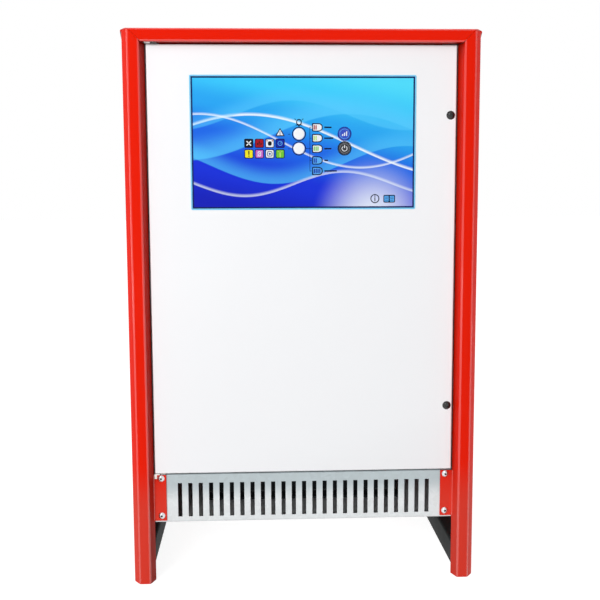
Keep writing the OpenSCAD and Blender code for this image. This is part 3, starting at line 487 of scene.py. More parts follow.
@dataclass(frozen=True)
class Moulding:
    """Moulded plastic, foam, ink or black oxide: an even grain whose scale and depth set what it is."""

    name: str
    colour: Colour
    roughness: float = 0.5
    grain: float = 1500.0
    grain_depth: float = 0.03 * MM
    drift: float = 0.08
    coat: float = 0.0
    shine: float = 0.4

    def build(self) -> bpy.types.Material:
        """Makes the plastic's nodes.

        Returns:
            The plastic's material.
        """
        graph = Graph(self.name)
        darker = scaled(self.colour, 1 - self.drift)
        lighter = scaled(self.colour, 1 + self.drift, 0.001)
        spread = (self.roughness - 0.05, self.roughness + 0.05)
        graph.set(Base_Color=graph.mix(graph.noise(60.0, 3.0), darker, lighter),
                  Roughness=graph.span(graph.noise(220.0), 0.3, 0.7, spread))
        graph.set(Coat_Weight=self.coat, Coat_Roughness=0.08, Specular_IOR_Level=self.shine)
        graph.bump(graph.noise(self.grain), self.grain_depth, 0.5)
        return graph.material


@dataclass(frozen=True)
class LaminatedSteel:
    """Stack of thin core plates seen on edge, under varnish: fine lines across the stack.

    Blender's wave repeats every 2 pi / 20 of a unit, so a line stands for a bundle of 2 pi plates.
    """

    name: str
    colour: Colour
    plate: float = 0.7 * MM

    def build(self) -> bpy.types.Material:
        """Makes the core's nodes.

        Returns:
            The core's material.
        """
        graph = Graph(self.name)
        wave = {"Scale": 1 / self.plate / 20, "Distortion": 0.4, "Detail": 1.0, "Vector": graph.place()}
        lines = graph.add("ShaderNodeTexWave", wave, bands_direction="Y").outputs["Fac"]
        cloud = graph.noise(25.0, 4.0)
        tone = graph.mix(graph.weighted(lines, cloud, 0.6), scaled(self.colour, 0.5), self.colour)
        graph.set(Base_Color=tone, Metallic=0.4, Coat_Weight=0.25, Coat_Roughness=0.3,
                  Roughness=graph.span(cloud, 0.3, 0.7, (0.4, 0.6)))
        graph.bump(lines, 0.2 * MM, 0.5)
        return graph.material


@dataclass(frozen=True)
class Ribbon:
    """A wave of light on the film; its middle line is v = level + swing sin(waves u + shift).

    The light is full on that line and fades within one width above it and another below it.
    """

    level: float
    swing: float
    waves: float
    shift: float
    above: float
    below: float
    light: float
    thin: bool = False

    def strength(self, graph: Graph, u: Socket, v: Socket) -> Socket:
        """How strong the light is at each place.

        Args:
            graph: the film's material.
            u: place across the film.
            v: place up the film.

        Returns:
            The output of the light's strength, 0 to 1.
        """
        swing = graph.math("SINE", graph.math("ADD", graph.math("MULTIPLY", u, self.waves), self.shift))
        line = graph.math("ADD", graph.math("MULTIPLY", swing, self.swing), self.level)
        over = graph.math("SUBTRACT", v, line)
        upper = graph.span(over, 0.0, self.above, (1.0, 0.0))
        lower = graph.span(over, -self.below, 0.0)
        return graph.math("MULTIPLY", graph.math("MULTIPLY", upper, lower), self.light)


@dataclass(frozen=True)
class PrintedFilm:
    """Reverse-printed polyester overlay: a sky-to-deep-blue field with soft waves of light.

    The field is read from Object coordinates: u runs from -1 to 1 across the film and v from -1 at
    its foot to 1 at its head. A glow fades from a point below the film's foot. A pale margin and a
    navy line follow the film's edge.
    """

    name: str
    centre: tuple[float, float, float]
    half_width: float
    half_height: float
    margin: float = 1.7 * MM
    line: float = 1.9 * MM
    broad_light: Colour = srgb("58CCFF")
    thin_light: Colour = srgb("F4FCFF")
    field_colours: tuple[tuple[float, Colour], ...] = (
        (0.00, srgb("0E1CB4")), (0.24, srgb("1430D6")), (0.45, srgb("1C66E4")),
        (0.64, srgb("28A4F0")), (0.82, srgb("3CCBFA")), (1.00, srgb("50DCFC")))
    ribbons: tuple[Ribbon, ...] = (
        Ribbon(0.10, 0.34, 2.2, 0.7, 0.42, 0.03, 0.62),
        Ribbon(-0.32, 0.28, 2.7, -0.9, 0.30, 0.02, 0.50),
        Ribbon(-0.05, 0.46, 1.7, 2.4, 0.05, 0.015, 0.90, thin=True),
        Ribbon(0.42, 0.22, 3.1, 1.9, 0.26, 0.03, 0.45),
        Ribbon(-0.62, 0.18, 3.6, 0.3, 0.05, 0.015, 0.55, thin=True),
        Ribbon(0.02, 0.40, 2.2, 3.6, 0.04, 0.012, 0.70, thin=True))

    def build(self) -> bpy.types.Material:
        """Makes the film's nodes.

        Returns:
            The film's material.
        """
        graph = Graph(self.name)
        spot = graph.place(self.centre)
        axes = graph.axes(spot)
        u = graph.math("DIVIDE", axes["X"], self.half_width)
        v = graph.math("DIVIDE", axes["Z"], self.half_height)
        tilt = graph.math("ADD", v, graph.math("MULTIPLY", u, 0.35))
        colour = graph.ramp(graph.span(tilt, -1.2, 1.2, smooth=False), self.field_colours)
        for ribbon in self.ribbons:
            tint = self.thin_light if ribbon.thin else self.broad_light
            colour = graph.mix(ribbon.strength(graph, u, v), colour, tint)
        source = (self.half_width * 0.62, 0.0, -self.half_height * 1.1)
        away = graph.add("ShaderNodeVectorMath", {0: spot, 1: source}, operation="DISTANCE").outputs["Value"]
        glow = graph.span(away, 0.0, self.half_height * 0.95, (0.85, 0.0))
        colour = graph.mix(glow, colour, self.thin_light)
        edge_x = graph.math("SUBTRACT", self.half_width, graph.math("ABSOLUTE", axes["X"]))
        edge_z = graph.math("SUBTRACT", self.half_height, graph.math("ABSOLUTE", axes["Z"]))
        edge = graph.math("MINIMUM", edge_x, edge_z)
        for reach, tint in ((self.margin + self.line, srgb("0C1F5C")), (self.margin, srgb("7CCBF0"))):
            colour = graph.mix(graph.math("LESS_THAN", edge, reach), colour, tint)
        graph.set(Base_Color=colour, Roughness=graph.span(graph.noise(50.0, 3.0), 0.3, 0.7, (0.30, 0.38)))
        graph.set(Coat_Weight=0.1, Coat_Roughness=0.16, Specular_IOR_Level=0.12)
        graph.bump(graph.noise(1400.0), 0.02 * MM, 0.4)
        return graph.material


@dataclass(frozen=True)
class BoardMask:
    """Circuit board: green mask over bundles of copper tracks, with dark parts on both faces."""

    name: str
    colour: Colour
    front: float
    rear: float
    pitch: float = 1.9 * MM
    patch_scale: float = 75.0

    def build(self) -> bpy.types.Material:
        """Makes the board's nodes.

        Returns:
            The board's material.
        """
        graph = Graph(self.name)
        axes = graph.axes(graph.place())
        squares = {"Scale": self.patch_scale, "Vector": graph.place()}
        patch = graph.add("ShaderNodeTexVoronoi", squares, distance="CHEBYCHEV").outputs["Color"]
        way = graph.math("GREATER_THAN", graph.axes(patch)["X"], 0.5)
        lines = []
        for axis in "XZ":
            along = graph.math("FRACT", graph.math("DIVIDE", axes[axis], self.pitch))
            lines.append(graph.math("LESS_THAN", along, 0.36))
        track = graph.add("ShaderNodeMix", {"Factor": way, "A": lines[0], "B": lines[1]}).outputs["Result"]
        mask = graph.mix(track, self.colour, scaled(self.colour, 1.7, 0.008))
        behind = graph.math("GREATER_THAN", axes["Y"], self.rear)
        before = graph.math("LESS_THAN", axes["Y"], self.front)
        colour = graph.mix(graph.math("MAXIMUM", behind, before), mask, CHIP_BLACK)
        graph.set(Base_Color=colour, Roughness=0.34, Coat_Weight=0.15, Coat_Roughness=0.2,
                  Specular_IOR_Level=0.2)
        graph.bump(track, 0.04 * MM, 0.5)
        return graph.material


Finish = PowderCoat | GalvanisedSheet | PlatedSteel | Moulding | LaminatedSteel | PrintedFilm | BoardMask


def merged_and_smooth(sharp_angle: float, reach: float = 0.002 * MM) -> bpy.types.NodeTree:
    """A geometry modifier that joins loose triangles and shades bends smooth.

    Args:
        sharp_angle: edges that turn by more than this many degrees stay sharp.
        reach: corners this near to each other become one, in metres.

    Returns:
        The node tree for a Geometry Nodes modifier.
    """
    tree = bpy.data.node_groups.new("merged_and_smooth", "GeometryNodeTree")
    for way in ("INPUT", "OUTPUT"):
        tree.interface.new_socket("Geometry", in_out=way, socket_type="NodeSocketGeometry")
    start = tree.nodes.new("NodeGroupInput")
    end = tree.nodes.new("NodeGroupOutput")
    merge = tree.nodes.new("GeometryNodeMergeByDistance")
    merge.inputs["Distance"].default_value = reach
    smooth = tree.nodes.new("GeometryNodeSetShadeSmooth")
    crisp = tree.nodes.new("GeometryNodeSetShadeSmooth")
    crisp.domain = "EDGE"
    crisp.inputs["Shade Smooth"].default_value = False
    angle = tree.nodes.new("GeometryNodeInputMeshEdgeAngle")
    over = tree.nodes.new("FunctionNodeCompare")
    over.data_type = "FLOAT"
    over.operation = "GREATER_THAN"
    over.inputs[1].default_value = math.radians(sharp_angle)
    tree.links.new(angle.outputs[0], over.inputs[0])
    tree.links.new(over.outputs[0], crisp.inputs["Selection"])
    for before, after in ((start, merge), (merge, smooth), (smooth, crisp), (crisp, end)):
        tree.links.new(before.outputs["Geometry"], after.inputs["Geometry"])
    return tree


def mark_bends(data: bpy.types.Mesh, share: float = 0.003, step: float = 0.04) -> None:
    """Writes a face attribute that is one on the bends of a folded sheet and zero on its flats.

    The faces are sorted by where they point. A direction that covers less than a small share of
    the whole area belongs to a bend or to a cut edge.

    Args:
        data: the mesh of a node.
        share: largest share of the area that one direction of a bend covers.
        step: width of one class of direction.
    """
    count = len(data.polygons)
    normals = np.empty(count * 3)
    areas = np.empty(count)
    data.polygons.foreach_get("normal", normals)
    data.polygons.foreach_get("area", areas)
    classes = np.round(normals.reshape(-1, 3) / step).astype(int)
    _, which = np.unique(classes, axis=0, return_inverse=True)
    totals = np.bincount(which.ravel(), weights=areas)
    bend = (totals[which.ravel()] < share * areas.sum()).astype(np.float32)
    data.attributes.new("bend", "FLOAT", "FACE").data.foreach_set("value", bend)


class Workshop:
    """Turns arrays into pieces and dresses the frame's own nodes."""

    SHARP_ANGLE = 34.0

    def __init__(self, frame: dict) -> None:
        """Keeps the frame and prepares the modifier that its nodes share.
        """
        self.nodes = frame["nodes"]
        self.smoothing = merged_and_smooth(self.SHARP_ANGLE)
        self.made = 0

    def dress(self, names: Sequence[str], finish: Finish, edge: float = 0.25 * MM) -> None:
        """Gives nodes of the frame a finish, smooth bends and slightly broken edges.

        Args:
            names: the nodes.
            finish: what they are made of.
            edge: width of the broken edge in metres, or 0 for none.
        """
        material = finish.build()
        for name in names:
            node = self.nodes[name]
            node.data.materials.clear()
            node.data.materials.append(material)
            mark_bends(node.data)
            modifier = node.modifiers.new("bends", "NODES")
            modifier.node_group = self.smoothing
            if edge > 0:
                bevel = node.modifiers.new("edges", "BEVEL")
                bevel.width = edge
                bevel.segments = 2
                bevel.limit_method = "ANGLE"
                bevel.angle_limit = math.radians(self.SHARP_ANGLE)
                bevel.use_clamp_overlap = True
            LOG.info("dressed %s in %s", name, material.name)

    def rods(self, name: str, points: np.ndarray, material: bpy.types.Material,
             smooth: bool = True) -> bpy.types.Object:
        """Makes a piece of one or more rods: rings one after the other, with a flat fan on both ends.

        Args:
            name: the piece's name.
            points: array of rods by rings by points of a ring by 3, in metres.
            material: its finish.
            smooth: shades it smooth.

        Returns:
            The new object, at the origin.
        """
        count, rings, steps, _ = points.shape
        index = np.arange(count * rings * steps).reshape(count, rings, steps)
        a, b = index[:, :-1], index[:, 1:]
        quads = np.stack([a, np.roll(a, -1, axis=2), np.roll(b, -1, axis=2), b], axis=-1)
        faces = [quads.reshape(-1, 4)]
        caps = np.concatenate([points[:, 0].mean(axis=1), points[:, -1].mean(axis=1)])
        for row, start, flip in ((0, index.size, False), (rings - 1, index.size + count, True)):
            ring = index[:, row]
            after = np.roll(ring, -1, axis=1)
            centre = np.broadcast_to((start + np.arange(count))[:, None], ring.shape)
            fan = (centre, ring, after) if flip else (centre, after, ring)
            faces.append(np.stack(fan, axis=-1).reshape(-1, 3))
        return self.mesh(name, np.concatenate([points.reshape(-1, 3), caps]), faces, material, smooth)

    def mesh(self, name: str, verts: np.ndarray, faces: Sequence[np.ndarray],
             material: bpy.types.Material, smooth: bool) -> bpy.types.Object:
        """Puts vertices and faces into a new piece.

        Args:
            name: the piece's name.
            verts: array of points in metres.
            faces: arrays of vertex numbers, each with faces of one size.
            material: its finish.
            smooth: shades it smooth.

        Returns:
            The new object, at the origin.
        """
        data = bpy.data.meshes.new(name)
        corners = np.concatenate([f.reshape(-1) for f in faces])
        sizes = np.concatenate([np.full(len(f), f.shape[1]) for f in faces])
        data.vertices.add(len(verts))
        data.vertices.foreach_set("co", verts.astype(np.float32).ravel())
        data.loops.add(len(corners))
        data.loops.foreach_set("vertex_index", corners.astype(np.int32))
        data.polygons.add(len(sizes))
        data.polygons.foreach_set("loop_start", (np.cumsum(sizes) - sizes).astype(np.int32))
        data.polygons.foreach_set("use_smooth", np.full(len(sizes), smooth))
        data.update(calc_edges=True)
        data.validate()
        data.materials.append(material)
        piece = bpy.data.objects.new(name, data)
        bpy.context.scene.collection.objects.link(piece)
        self.made += 1
        LOG.info("made %s: %d vertices, %d faces", name, len(verts), len(sizes))
        return piece


def superellipse(half_w: float, half_h: float, power: float, steps: int = 40) -> np.ndarray:
    """Outline |x/a|^n + |z/b|^n = 1, from an ellipse at n = 2 to a soft-cornered box at high n.

    Args:
        half_w: a, half the width.
        half_h: b, half the height.
        power: n.
        steps: points round the outline.

    Returns:
        Points by 2, anticlockwise.
    """
    t = np.linspace(0, 2 * np.pi, steps, endpoint=False) + np.pi / steps
    c, s = np.cos(t), np.sin(t)
    return np.stack([half_w * np.sign(c) * np.abs(c) ** (2 / power),
                     half_h * np.sign(s) * np.abs(s) ** (2 / power)], axis=1)


def disc(radius: float, steps: int = 20) -> np.ndarray:
    """Returns a circle's outline with so many points, as points by 2."""
    return superellipse(radius, radius, 2.0, steps)


def even_polygon(radius: float, sides: int) -> np.ndarray:
    """Outline of an even polygon that stands with one corner up.

    At the angle t from that corner its distance is cos(pi/n) over cos of t within one side.

    Args:
        radius: to the corners.
        sides: n.

    Returns:
        Points by 2, anticlockwise, sixteen to a side.
    """
    t = np.linspace(0, 2 * np.pi, 16 * sides, endpoint=False)
    within = np.mod(t, 2 * np.pi / sides) - np.pi / sides
    r = radius * np.cos(np.pi / sides) / np.cos(within)
    a = t + np.pi / 2
    return np.stack([r * np.cos(a), r * np.sin(a)], axis=1)


def cell_outline(half_w: float, half_h: float) -> np.ndarray:
    """Outline of a battery sign: a box on its left half and a round nose on its right half.

    Args:
        half_w: half its width.
        half_h: half its height.

    Returns:
        Points by 2, anticlockwise.
    """
    box = superellipse(half_w, half_h, 12.0)
    nose = superellipse(half_w, half_h, 2.6)
    return np.where(box[:, :1] > 0, nose, box)


@dataclass
class Mark:
    """One printed shape: an outline, its place on the panel and how high its ink lies.

    The hole is a share of the outline, and the turn is in degrees.
    """

    outline: np.ndarray
    at: Point
    level: int = 1
    hole: float = 0.0
    turn: float = 0.0

    def surface(self, face: float, step: float) -> np.ndarray:
        """The mark as a closed skin: its outline scaled along a profile that runs over its edge.

        Args:
            face: depth of the printed face in the frame, in metres.
            step: height of one ink level in metres.

        Returns:
            Rows along the profile by points round it by 3, in metres.
        """
        a = math.radians(self.turn)
        shape = self.outline @ np.array([[math.cos(a), math.sin(a)], [-math.sin(a), math.cos(a)]])
        top = face - step * self.level
        foot, rim = face + step, top + step * 0.4
        inner = max(self.hole, 0.02)
        profile = np.array([(inner, foot), (1.0, foot), (1.0, rim), (0.985, top), (inner * 1.015, top),
                            (inner, rim)])
        rows = (profile[:, 0][:, None, None] * shape[None] + np.array(self.at)) * MM
        deep = np.broadcast_to(profile[:, 1][:, None], rows.shape[:2])
        return np.stack([rows[..., 0], deep, rows[..., 1]], axis=-1)


class ControlPanel:
    """The overlay's print: lamp rings, signs, battery states and the two keys' signs.

    Sizes and places on the panel are in millimetres, across and up. Depths are in metres.
    """

    STEP = 0.035 * MM
    KEY_DISH = 0.22 * MM
    KEY_LEVEL = 7

    def __init__(self, shop: Workshop) -> None:
        """Starts an empty sheet of marks for each ink.

        Args:
            shop: where pieces are made.
        """
        self.shop = shop
        self.low, self.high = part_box("control_overlay")
        self.sheets: dict[Ink, list[Mark]] = {ink: [] for ink in Ink}

    def mark(self, ink: Ink, outline: np.ndarray, at: Point, level: int = 1, hole: float = 0.0,
             turn: float = 0.0) -> None:
        """Adds one shape to an ink's sheet; see Mark for the arguments."""
        self.sheets[ink].append(Mark(outline, at, level, hole, turn))

    def bar(self, ink: Ink, at: Point, start: Point, end: Point, width: float, level: int = 1) -> None:
        """A straight stroke.

        Args:
            ink: its colour.
            at: the point that both its ends are counted from.
            start: one end.
            end: the other end.
            width: of the stroke.
            level: height of the ink.
        """
        dx, dz = end[0] - start[0], end[1] - start[1]
        outline = superellipse((math.hypot(dx, dz) + width) / 2, width / 2, 9.0, 24)
        centre = moved(at, (start[0] + end[0]) / 2, (start[1] + end[1]) / 2)
        self.mark(ink, outline, centre, level, turn=math.degrees(math.atan2(dz, dx)))

    def lamps(self) -> None:
        """Navy rings round the lamp windows, and the bell above the upper one."""
        for node in ("lamp_lens_upper", "lamp_lens_lower"):
            self.mark(Ink.NAVY, disc(8.2, 64), middle(node), hole=0.86)
        bell = moved(middle("lamp_lens_upper"), 0, 13.6)
        self.mark(Ink.NAVY, superellipse(3.3, 3.7, 2.4), bell, hole=0.64)
        self.bar(Ink.NAVY, bell, (-3.6, -3.3), (3.6, -3.3), 0.8)
        self.mark(Ink.NAVY, disc(0.9), moved(bell, 0, -4.3))
        for side in (-1, 1):
            self.bar(Ink.NAVY, bell, (side * 3.6, 2.6), (side * 5.0, 3.8), 0.7)

    def signs(self) -> None:
        """Eight square signs in two rows, and a triangle beside the upper lamp."""
        lamp = middle("lamp_lens_upper")
        rows = [[moved(lamp, across, up) for across in (-59.3, -46.9, -34.6, -22.4)] for up in (-10.9, -23.2)]
        fills = ((Ink.BLACK, Ink.RED, Ink.WHITE, Ink.BLUE), (Ink.YELLOW, Ink.MAGENTA, Ink.WHITE, Ink.GREEN))
        for row, inks in zip(rows, fills):
            for at, ink in zip(row, inks):
                self.mark(Ink.NAVY, superellipse(5.4, 5.4, 7.0), at)
                self.mark(ink, superellipse(4.4, 4.4, 8.0), at, 2)
        (cross, cup, blob, clock), (alert, slash, square, tee) = rows
        for way in (-1, 1):
            self.bar(Ink.WHITE, cross, (-2.2, -way * 2.2), (2.2, way * 2.2), 1.3, 3)
        self.mark(Ink.BLACK, superellipse(2.9, 1.5, 2.2), moved(cup, 0, -0.8), 3, hole=0.62)
        self.bar(Ink.BLACK, cup, (0, 0), (0, 2.4), 0.9, 3)
        self.mark(Ink.BLACK, superellipse(2.3, 2.6, 2.6), moved(blob, 0, -0.2), 3)
        for side in (-1, 1):
            self.mark(Ink.RED, disc(0.8), moved(blob, side * 3.1, 2.9), 3)
        self.mark(Ink.SKY, disc(2.8, 40), clock, 3, hole=0.76)
        self.bar(Ink.SKY, clock, (0, 0), (1.4, 0.9), 0.6, 3)
        self.bar(Ink.BLACK, alert, (0, -0.4), (0, 2.6), 1.4, 3)
        self.mark(Ink.BLACK, disc(0.8), moved(alert, 0, -2.7), 3)
        self.mark(Ink.WHITE, superellipse(2.0, 3.0, 3.0), slash, 3, hole=0.66)
        self.bar(Ink.WHITE, slash, (-2.4, -2.6), (2.4, 2.6), 0.6, 3)
        self.mark(Ink.NAVY, superellipse(3.0, 3.0, 6.0), square, 3, hole=0.74)
        self.mark(Ink.BLUE, superellipse(1.1, 1.1, 6.0), square, 3)
        self.bar(Ink.LIME, tee, (0, -3.0), (0, 2.8), 1.7, 3)
        self.bar(Ink.LIME, tee, (-2.2, 2.6), (2.2, 2.6), 1.0, 3)
        peak = moved(lamp, -22.4, 0.6)
        self.mark(Ink.NAVY, even_polygon(6.6, 3), peak)
        self.mark(Ink.WHITE, even_polygon(4.4, 3), peak, 2)
        self.bar(Ink.NAVY, peak, (0, -0.3), (0, 2.0), 0.9, 3)
        self.mark(Ink.NAVY, disc(0.55, 16), moved(peak, 0, -1.5), 3)
        for up in (-0.4, -17.4):
            self.bar(Ink.NAVY, lamp, (-12.6, up), (-10.6, up), 0.6)

    def states(self) -> None:
        """Five battery signs on a bracket line, each with a row of plain blocks that forms a dash."""
        upper, lower = middle("lamp_lens_upper"), middle("lamp_lens_lower")
        line, cell = 12.8, 21.7
        states = ((7.6, Ink.RED, Ink.WHITE, 2, 4), (-5.0, Ink.LIME, Ink.WHITE, 2, 5),
                  (-17.3, Ink.GREEN, Ink.WHITE, 3, 4), (-31.0, Ink.BLUE, Ink.SKY, 2, 2),
                  (-43.4, Ink.BLUE, Ink.SKY, 4, 7))
        self.bar(Ink.NAVY, upper, (line, states[0][0]), (line, states[-1][0]), 0.55)
        self.bar(Ink.NAVY, lower, (8.0, 0), (upper[0] + line - lower[0], 0), 0.55)
        for up, fill, ground, bars, blocks in states:
            self.bar(Ink.NAVY, upper, (line, up), (line + 1.6, up), 0.5)
            at = moved(upper, cell, up)
            self.mark(Ink.NAVY, cell_outline(6.3, 4.9), at)
            self.mark(ground, cell_outline(5.1, 3.7), at, 2)
            for i in range(bars):
                across = -3.7 + 2.2 * i
                self.bar(fill, at, (across, -2.0), (across, 2.0), 1.4, 3)
            for i in range(blocks):
                across = 9.0 + 2.1 * i
                self.bar(Ink.NAVY, at, (across, 0), (across + 0.6, 0), 1.7)

    def corner_signs(self) -> None:
        """A round sign and an open book near the panel's foot on the right."""
        corner = (self.high.x / MM, self.low.z / MM)
        ring = moved(corner, -48.6, 12.6)
        self.mark(Ink.NAVY, disc(5.4, 48), ring, hole=0.78)
        self.bar(Ink.NAVY, ring, (0, -2.6), (0, 1.0), 1.1)
        self.mark(Ink.NAVY, disc(0.8), moved(ring, 0, 3.0))
        book = moved(corner, -31.4, 12.4)
        self.mark(Ink.NAVY, superellipse(7.0, 4.6, 9.0), book)
        for side in (-1, 1):
            self.mark(Ink.SKY, superellipse(2.6, 3.4, 9.0), moved(book, side * 3.3, 0), 2)
            for up in (-1.9, 0.0, 1.9):
                self.bar(Ink.NAVY, book, (side * 3.2 - 1.6, up), (side * 3.2 + 1.6, up), 0.5, 3)

    def key_rings(self) -> None:
        """Printed rings round the two keys."""
        for node, ink in (("equalise_button", Ink.BLUE), ("power_button", Ink.BLACK)):
            self.mark(ink, disc(8.35, 64), middle(node), hole=0.905)

    def key_signs(self) -> None:
        """Raised signs on the keys: a stroke and an open ring, or three rising bars, in a thin ring."""
        white = self.film(Ink.WHITE, "key_sign_white")
        for node, body, tint in (("power_button", Body.POWER, Ink.SILVER),
                                 ("equalise_button", Body.EQUALISE, Ink.SKY)):
            at = middle(node)
            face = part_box(node)[0].y + self.KEY_DISH
            ring = Mark(disc(5.9, 64), at, self.KEY_LEVEL, 0.92)
            self.print_sheet([ring], body, f"{node}_ring", self.film(tint, f"{node}_ring"), face)
            if body is Body.POWER:
                strips = [self.arc(moved(at, 0, -0.2), 3.0, 0.75, (128.0, 412.0), face)]
                shapes = [(superellipse(0.45, 1.9, 6.0, 20), 0.0, 2.2)]
            else:
                strips = []
                shapes = [(superellipse(0.62, tall, 7.0, 20), across, tall - 2.6)
                          for across, tall in ((-2.3, 1.2), (0.0, 2.0), (2.3, 2.8))]
            marks = [Mark(outline, moved(at, across, up), self.KEY_LEVEL) for outline, across, up in shapes]
            self.print_sheet(marks, body, f"{node}_sign", white, face, strips)

    def arc(self, at: Point, radius: float, width: float, ends: Point, face: float) -> np.ndarray:
        """An open ring as a strip: a rectangle carried along a circle.

        Args:
            at: middle of the circle.
            radius: of the strip's middle line.
            width: of the strip.
            ends: the angles where it starts and stops, in degrees.
            face: depth of the face it stands on.

        Returns:
            Corners of the rectangle by points along the strip by 3, in metres.
        """
        angles = np.radians(np.linspace(*ends, 48))
        top, foot = face - self.KEY_LEVEL * self.STEP, face + self.STEP
        inner, outer = radius - width / 2, radius + width / 2
        section = np.array([(inner, foot), (outer, foot), (outer, top), (inner, top)])
        r = section[:, 0][:, None]
        deep = np.broadcast_to(section[:, 1][:, None], (len(section), len(angles)))
        return np.stack([(at[0] + r * np.cos(angles)) * MM, deep, (at[1] + r * np.sin(angles)) * MM], axis=-1)

    def film(self, ink: Ink, name: str) -> bpy.types.Material:
        """Returns the finish of one ink under the film's gloss."""
        return Moulding(name, ink.value, roughness=0.34, grain=1400.0, grain_depth=0.02 * MM, drift=0.05,
                        coat=0.05, shine=0.1).build()

    def print_sheet(self, marks: Sequence[Mark], body: Body, name: str, material: bpy.types.Material,
                    face: float, strips: Sequence[np.ndarray] = ()) -> None:
        """Makes one thin raised piece of marks and strips, whose outlines may differ in length.

        Args:
            marks: the shapes, each closed upon itself.
            body: what the piece rides on.
            name: the piece's name.
            material: its finish.
            face: depth of the printed face.
            strips: open strips that belong to the piece.
        """
        verts: list[np.ndarray] = []
        quads: list[np.ndarray] = []
        start = 0
        skins = [(mark.surface(face, self.STEP), True) for mark in marks]
        skins += [(strip, False) for strip in strips]
        for skin, closed in skins:
            nu, nv, _ = skin.shape
            a = start + np.arange(nu * nv).reshape(nu, nv)
            b = np.roll(a, -1, axis=0)
            cells = np.stack([a, b, np.roll(b, -1, axis=1), np.roll(a, -1, axis=1)], axis=-1)
            if not closed:
                cells = cells[:, :-1]
                quads.append(a[[0, 3, 2, 1], 0][None])
                quads.append(a[:, -1][None])
            quads.append(cells.reshape(-1, 4))
            verts.append(skin.reshape(-1, 3))
            start += nu * nv
        piece = self.shop.mesh(name, np.concatenate(verts), [np.concatenate(quads)], material, False)
        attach(piece, body.value)

    def build(self) -> None:
        """Dresses the overlay, lamps and keys and prints every mark."""
        centre = tuple((self.low + self.high) / 2)
        half = (self.high - self.low) / 2
        self.shop.dress(["control_overlay"], PrintedFilm("overlay_print", centre, half.x, half.z), 0.0)
        self.shop.dress(["lamp_lens_upper", "lamp_lens_lower"],
                        Moulding("lamp_diffuser", (0.90, 0.91, 0.93), 0.25, coat=0.5, drift=0.02), 0.1 * MM)
        self.shop.dress(["equalise_button"], Moulding("key_blue", (0.012, 0.055, 0.50), 0.3, coat=0.4), 0.0)
        self.shop.dress(["power_button"], Moulding("key_black", (0.008, 0.009, 0.012), 0.3, coat=0.4), 0.0)
        self.lamps()
        self.signs()
        self.states()
        self.corner_signs()
        self.key_rings()
        for ink, marks in self.sheets.items():
            if marks:
                name = f"print_{ink.name.lower()}"
                self.print_sheet(marks, Body.DOOR, name, self.film(ink, name), self.low.y)
        self.key_signs()


@dataclass
class Cabinet:
    """The painted and galvanised sheet metal with its screws."""

    shop: Workshop
    # The red gets painted shade in its inner corners and a paler painted reflection of the floor near its
    # foot.
    red: PowderCoat = PowderCoat("red_powder_coat", (0.80, 0.012, 0.001), 0.30, 0.02, shine=0.03,
                                 shade_reach=24 * MM, floor_reflection=(0.70, 0.044, 0.026))
    white: PowderCoat = PowderCoat("white_powder_coat", srgb("F5F6F8"), 0.38, 0.05, 500.0, 0.04 * MM, 0.01)
    dark: PowderCoat = PowderCoat("dark_rail_paint", srgb("272A2A"), 0.5, 0.0, shine=0.02, bend_gloss=0.1)
    zinc: GalvanisedSheet = GalvanisedSheet("galvanised_sheet", srgb("DEE2E3"), metal=0.35)

    def build(self) -> None:
        """Dresses the cabinet's sheets and fasteners."""
        dress = self.shop.dress
        dress(["side_panel_left", "side_panel_right", "top_cover"], self.red)
        dress(["door"], self.white)
        dress(["base_rail_left", "base_rail_right"], self.dark)
        dress(["chassis_tray", "front_grille", "door_post_left", "door_post_right", "rear_panel",
               "mounting_plate", "din_rail"], self.zinc, 0.15 * MM)
        # Painted shade: the fasteners' sockets and gaps within the reach are tinted nearly black.
        bright = PlatedSteel("bright_zinc_plate", srgb("E4E6E8"), shade_reach=2.5 * MM)
        dress(["grille_screws", "rear_screws", "cover_screws", "hinge_pin_upper", "hinge_pin_lower",
               "board_screws", "core_bolts"], bright, 0.12 * MM)
        # Painted light: the hinge brackets get a paler, less metallic copy of the zinc plate, so that they
        # read bright in the shade of the cover's bar.
        brightened_zinc = PlatedSteel("zinc_plate_painted_light", (0.98, 0.95, 0.90), metal=0.2, roughness=0.4)
        dress(["hinge_bracket_upper", "hinge_bracket_lower"], brightened_zinc, 0.12 * MM)
        oxide = Moulding("black_oxide", srgb("101113"), 0.24, 900.0, 0.01 * MM, coat=0.5, shine=0.35)
        dress(["door_screw_upper", "door_screw_lower"], oxide, 0.15 * MM)
        foam = Moulding("cell_foam", srgb("2A2B2D"), 0.85, 1800.0, 0.1 * MM)
        dress(["door_seal_left", "door_seal_right"], foam, 0.2 * MM)
        nylon = Moulding("gland_nylon", srgb("35373A"), 0.45, 900.0)
        dress(["mains_gland", "battery_gland", "gland_nuts"], nylon, 0.3 * MM)


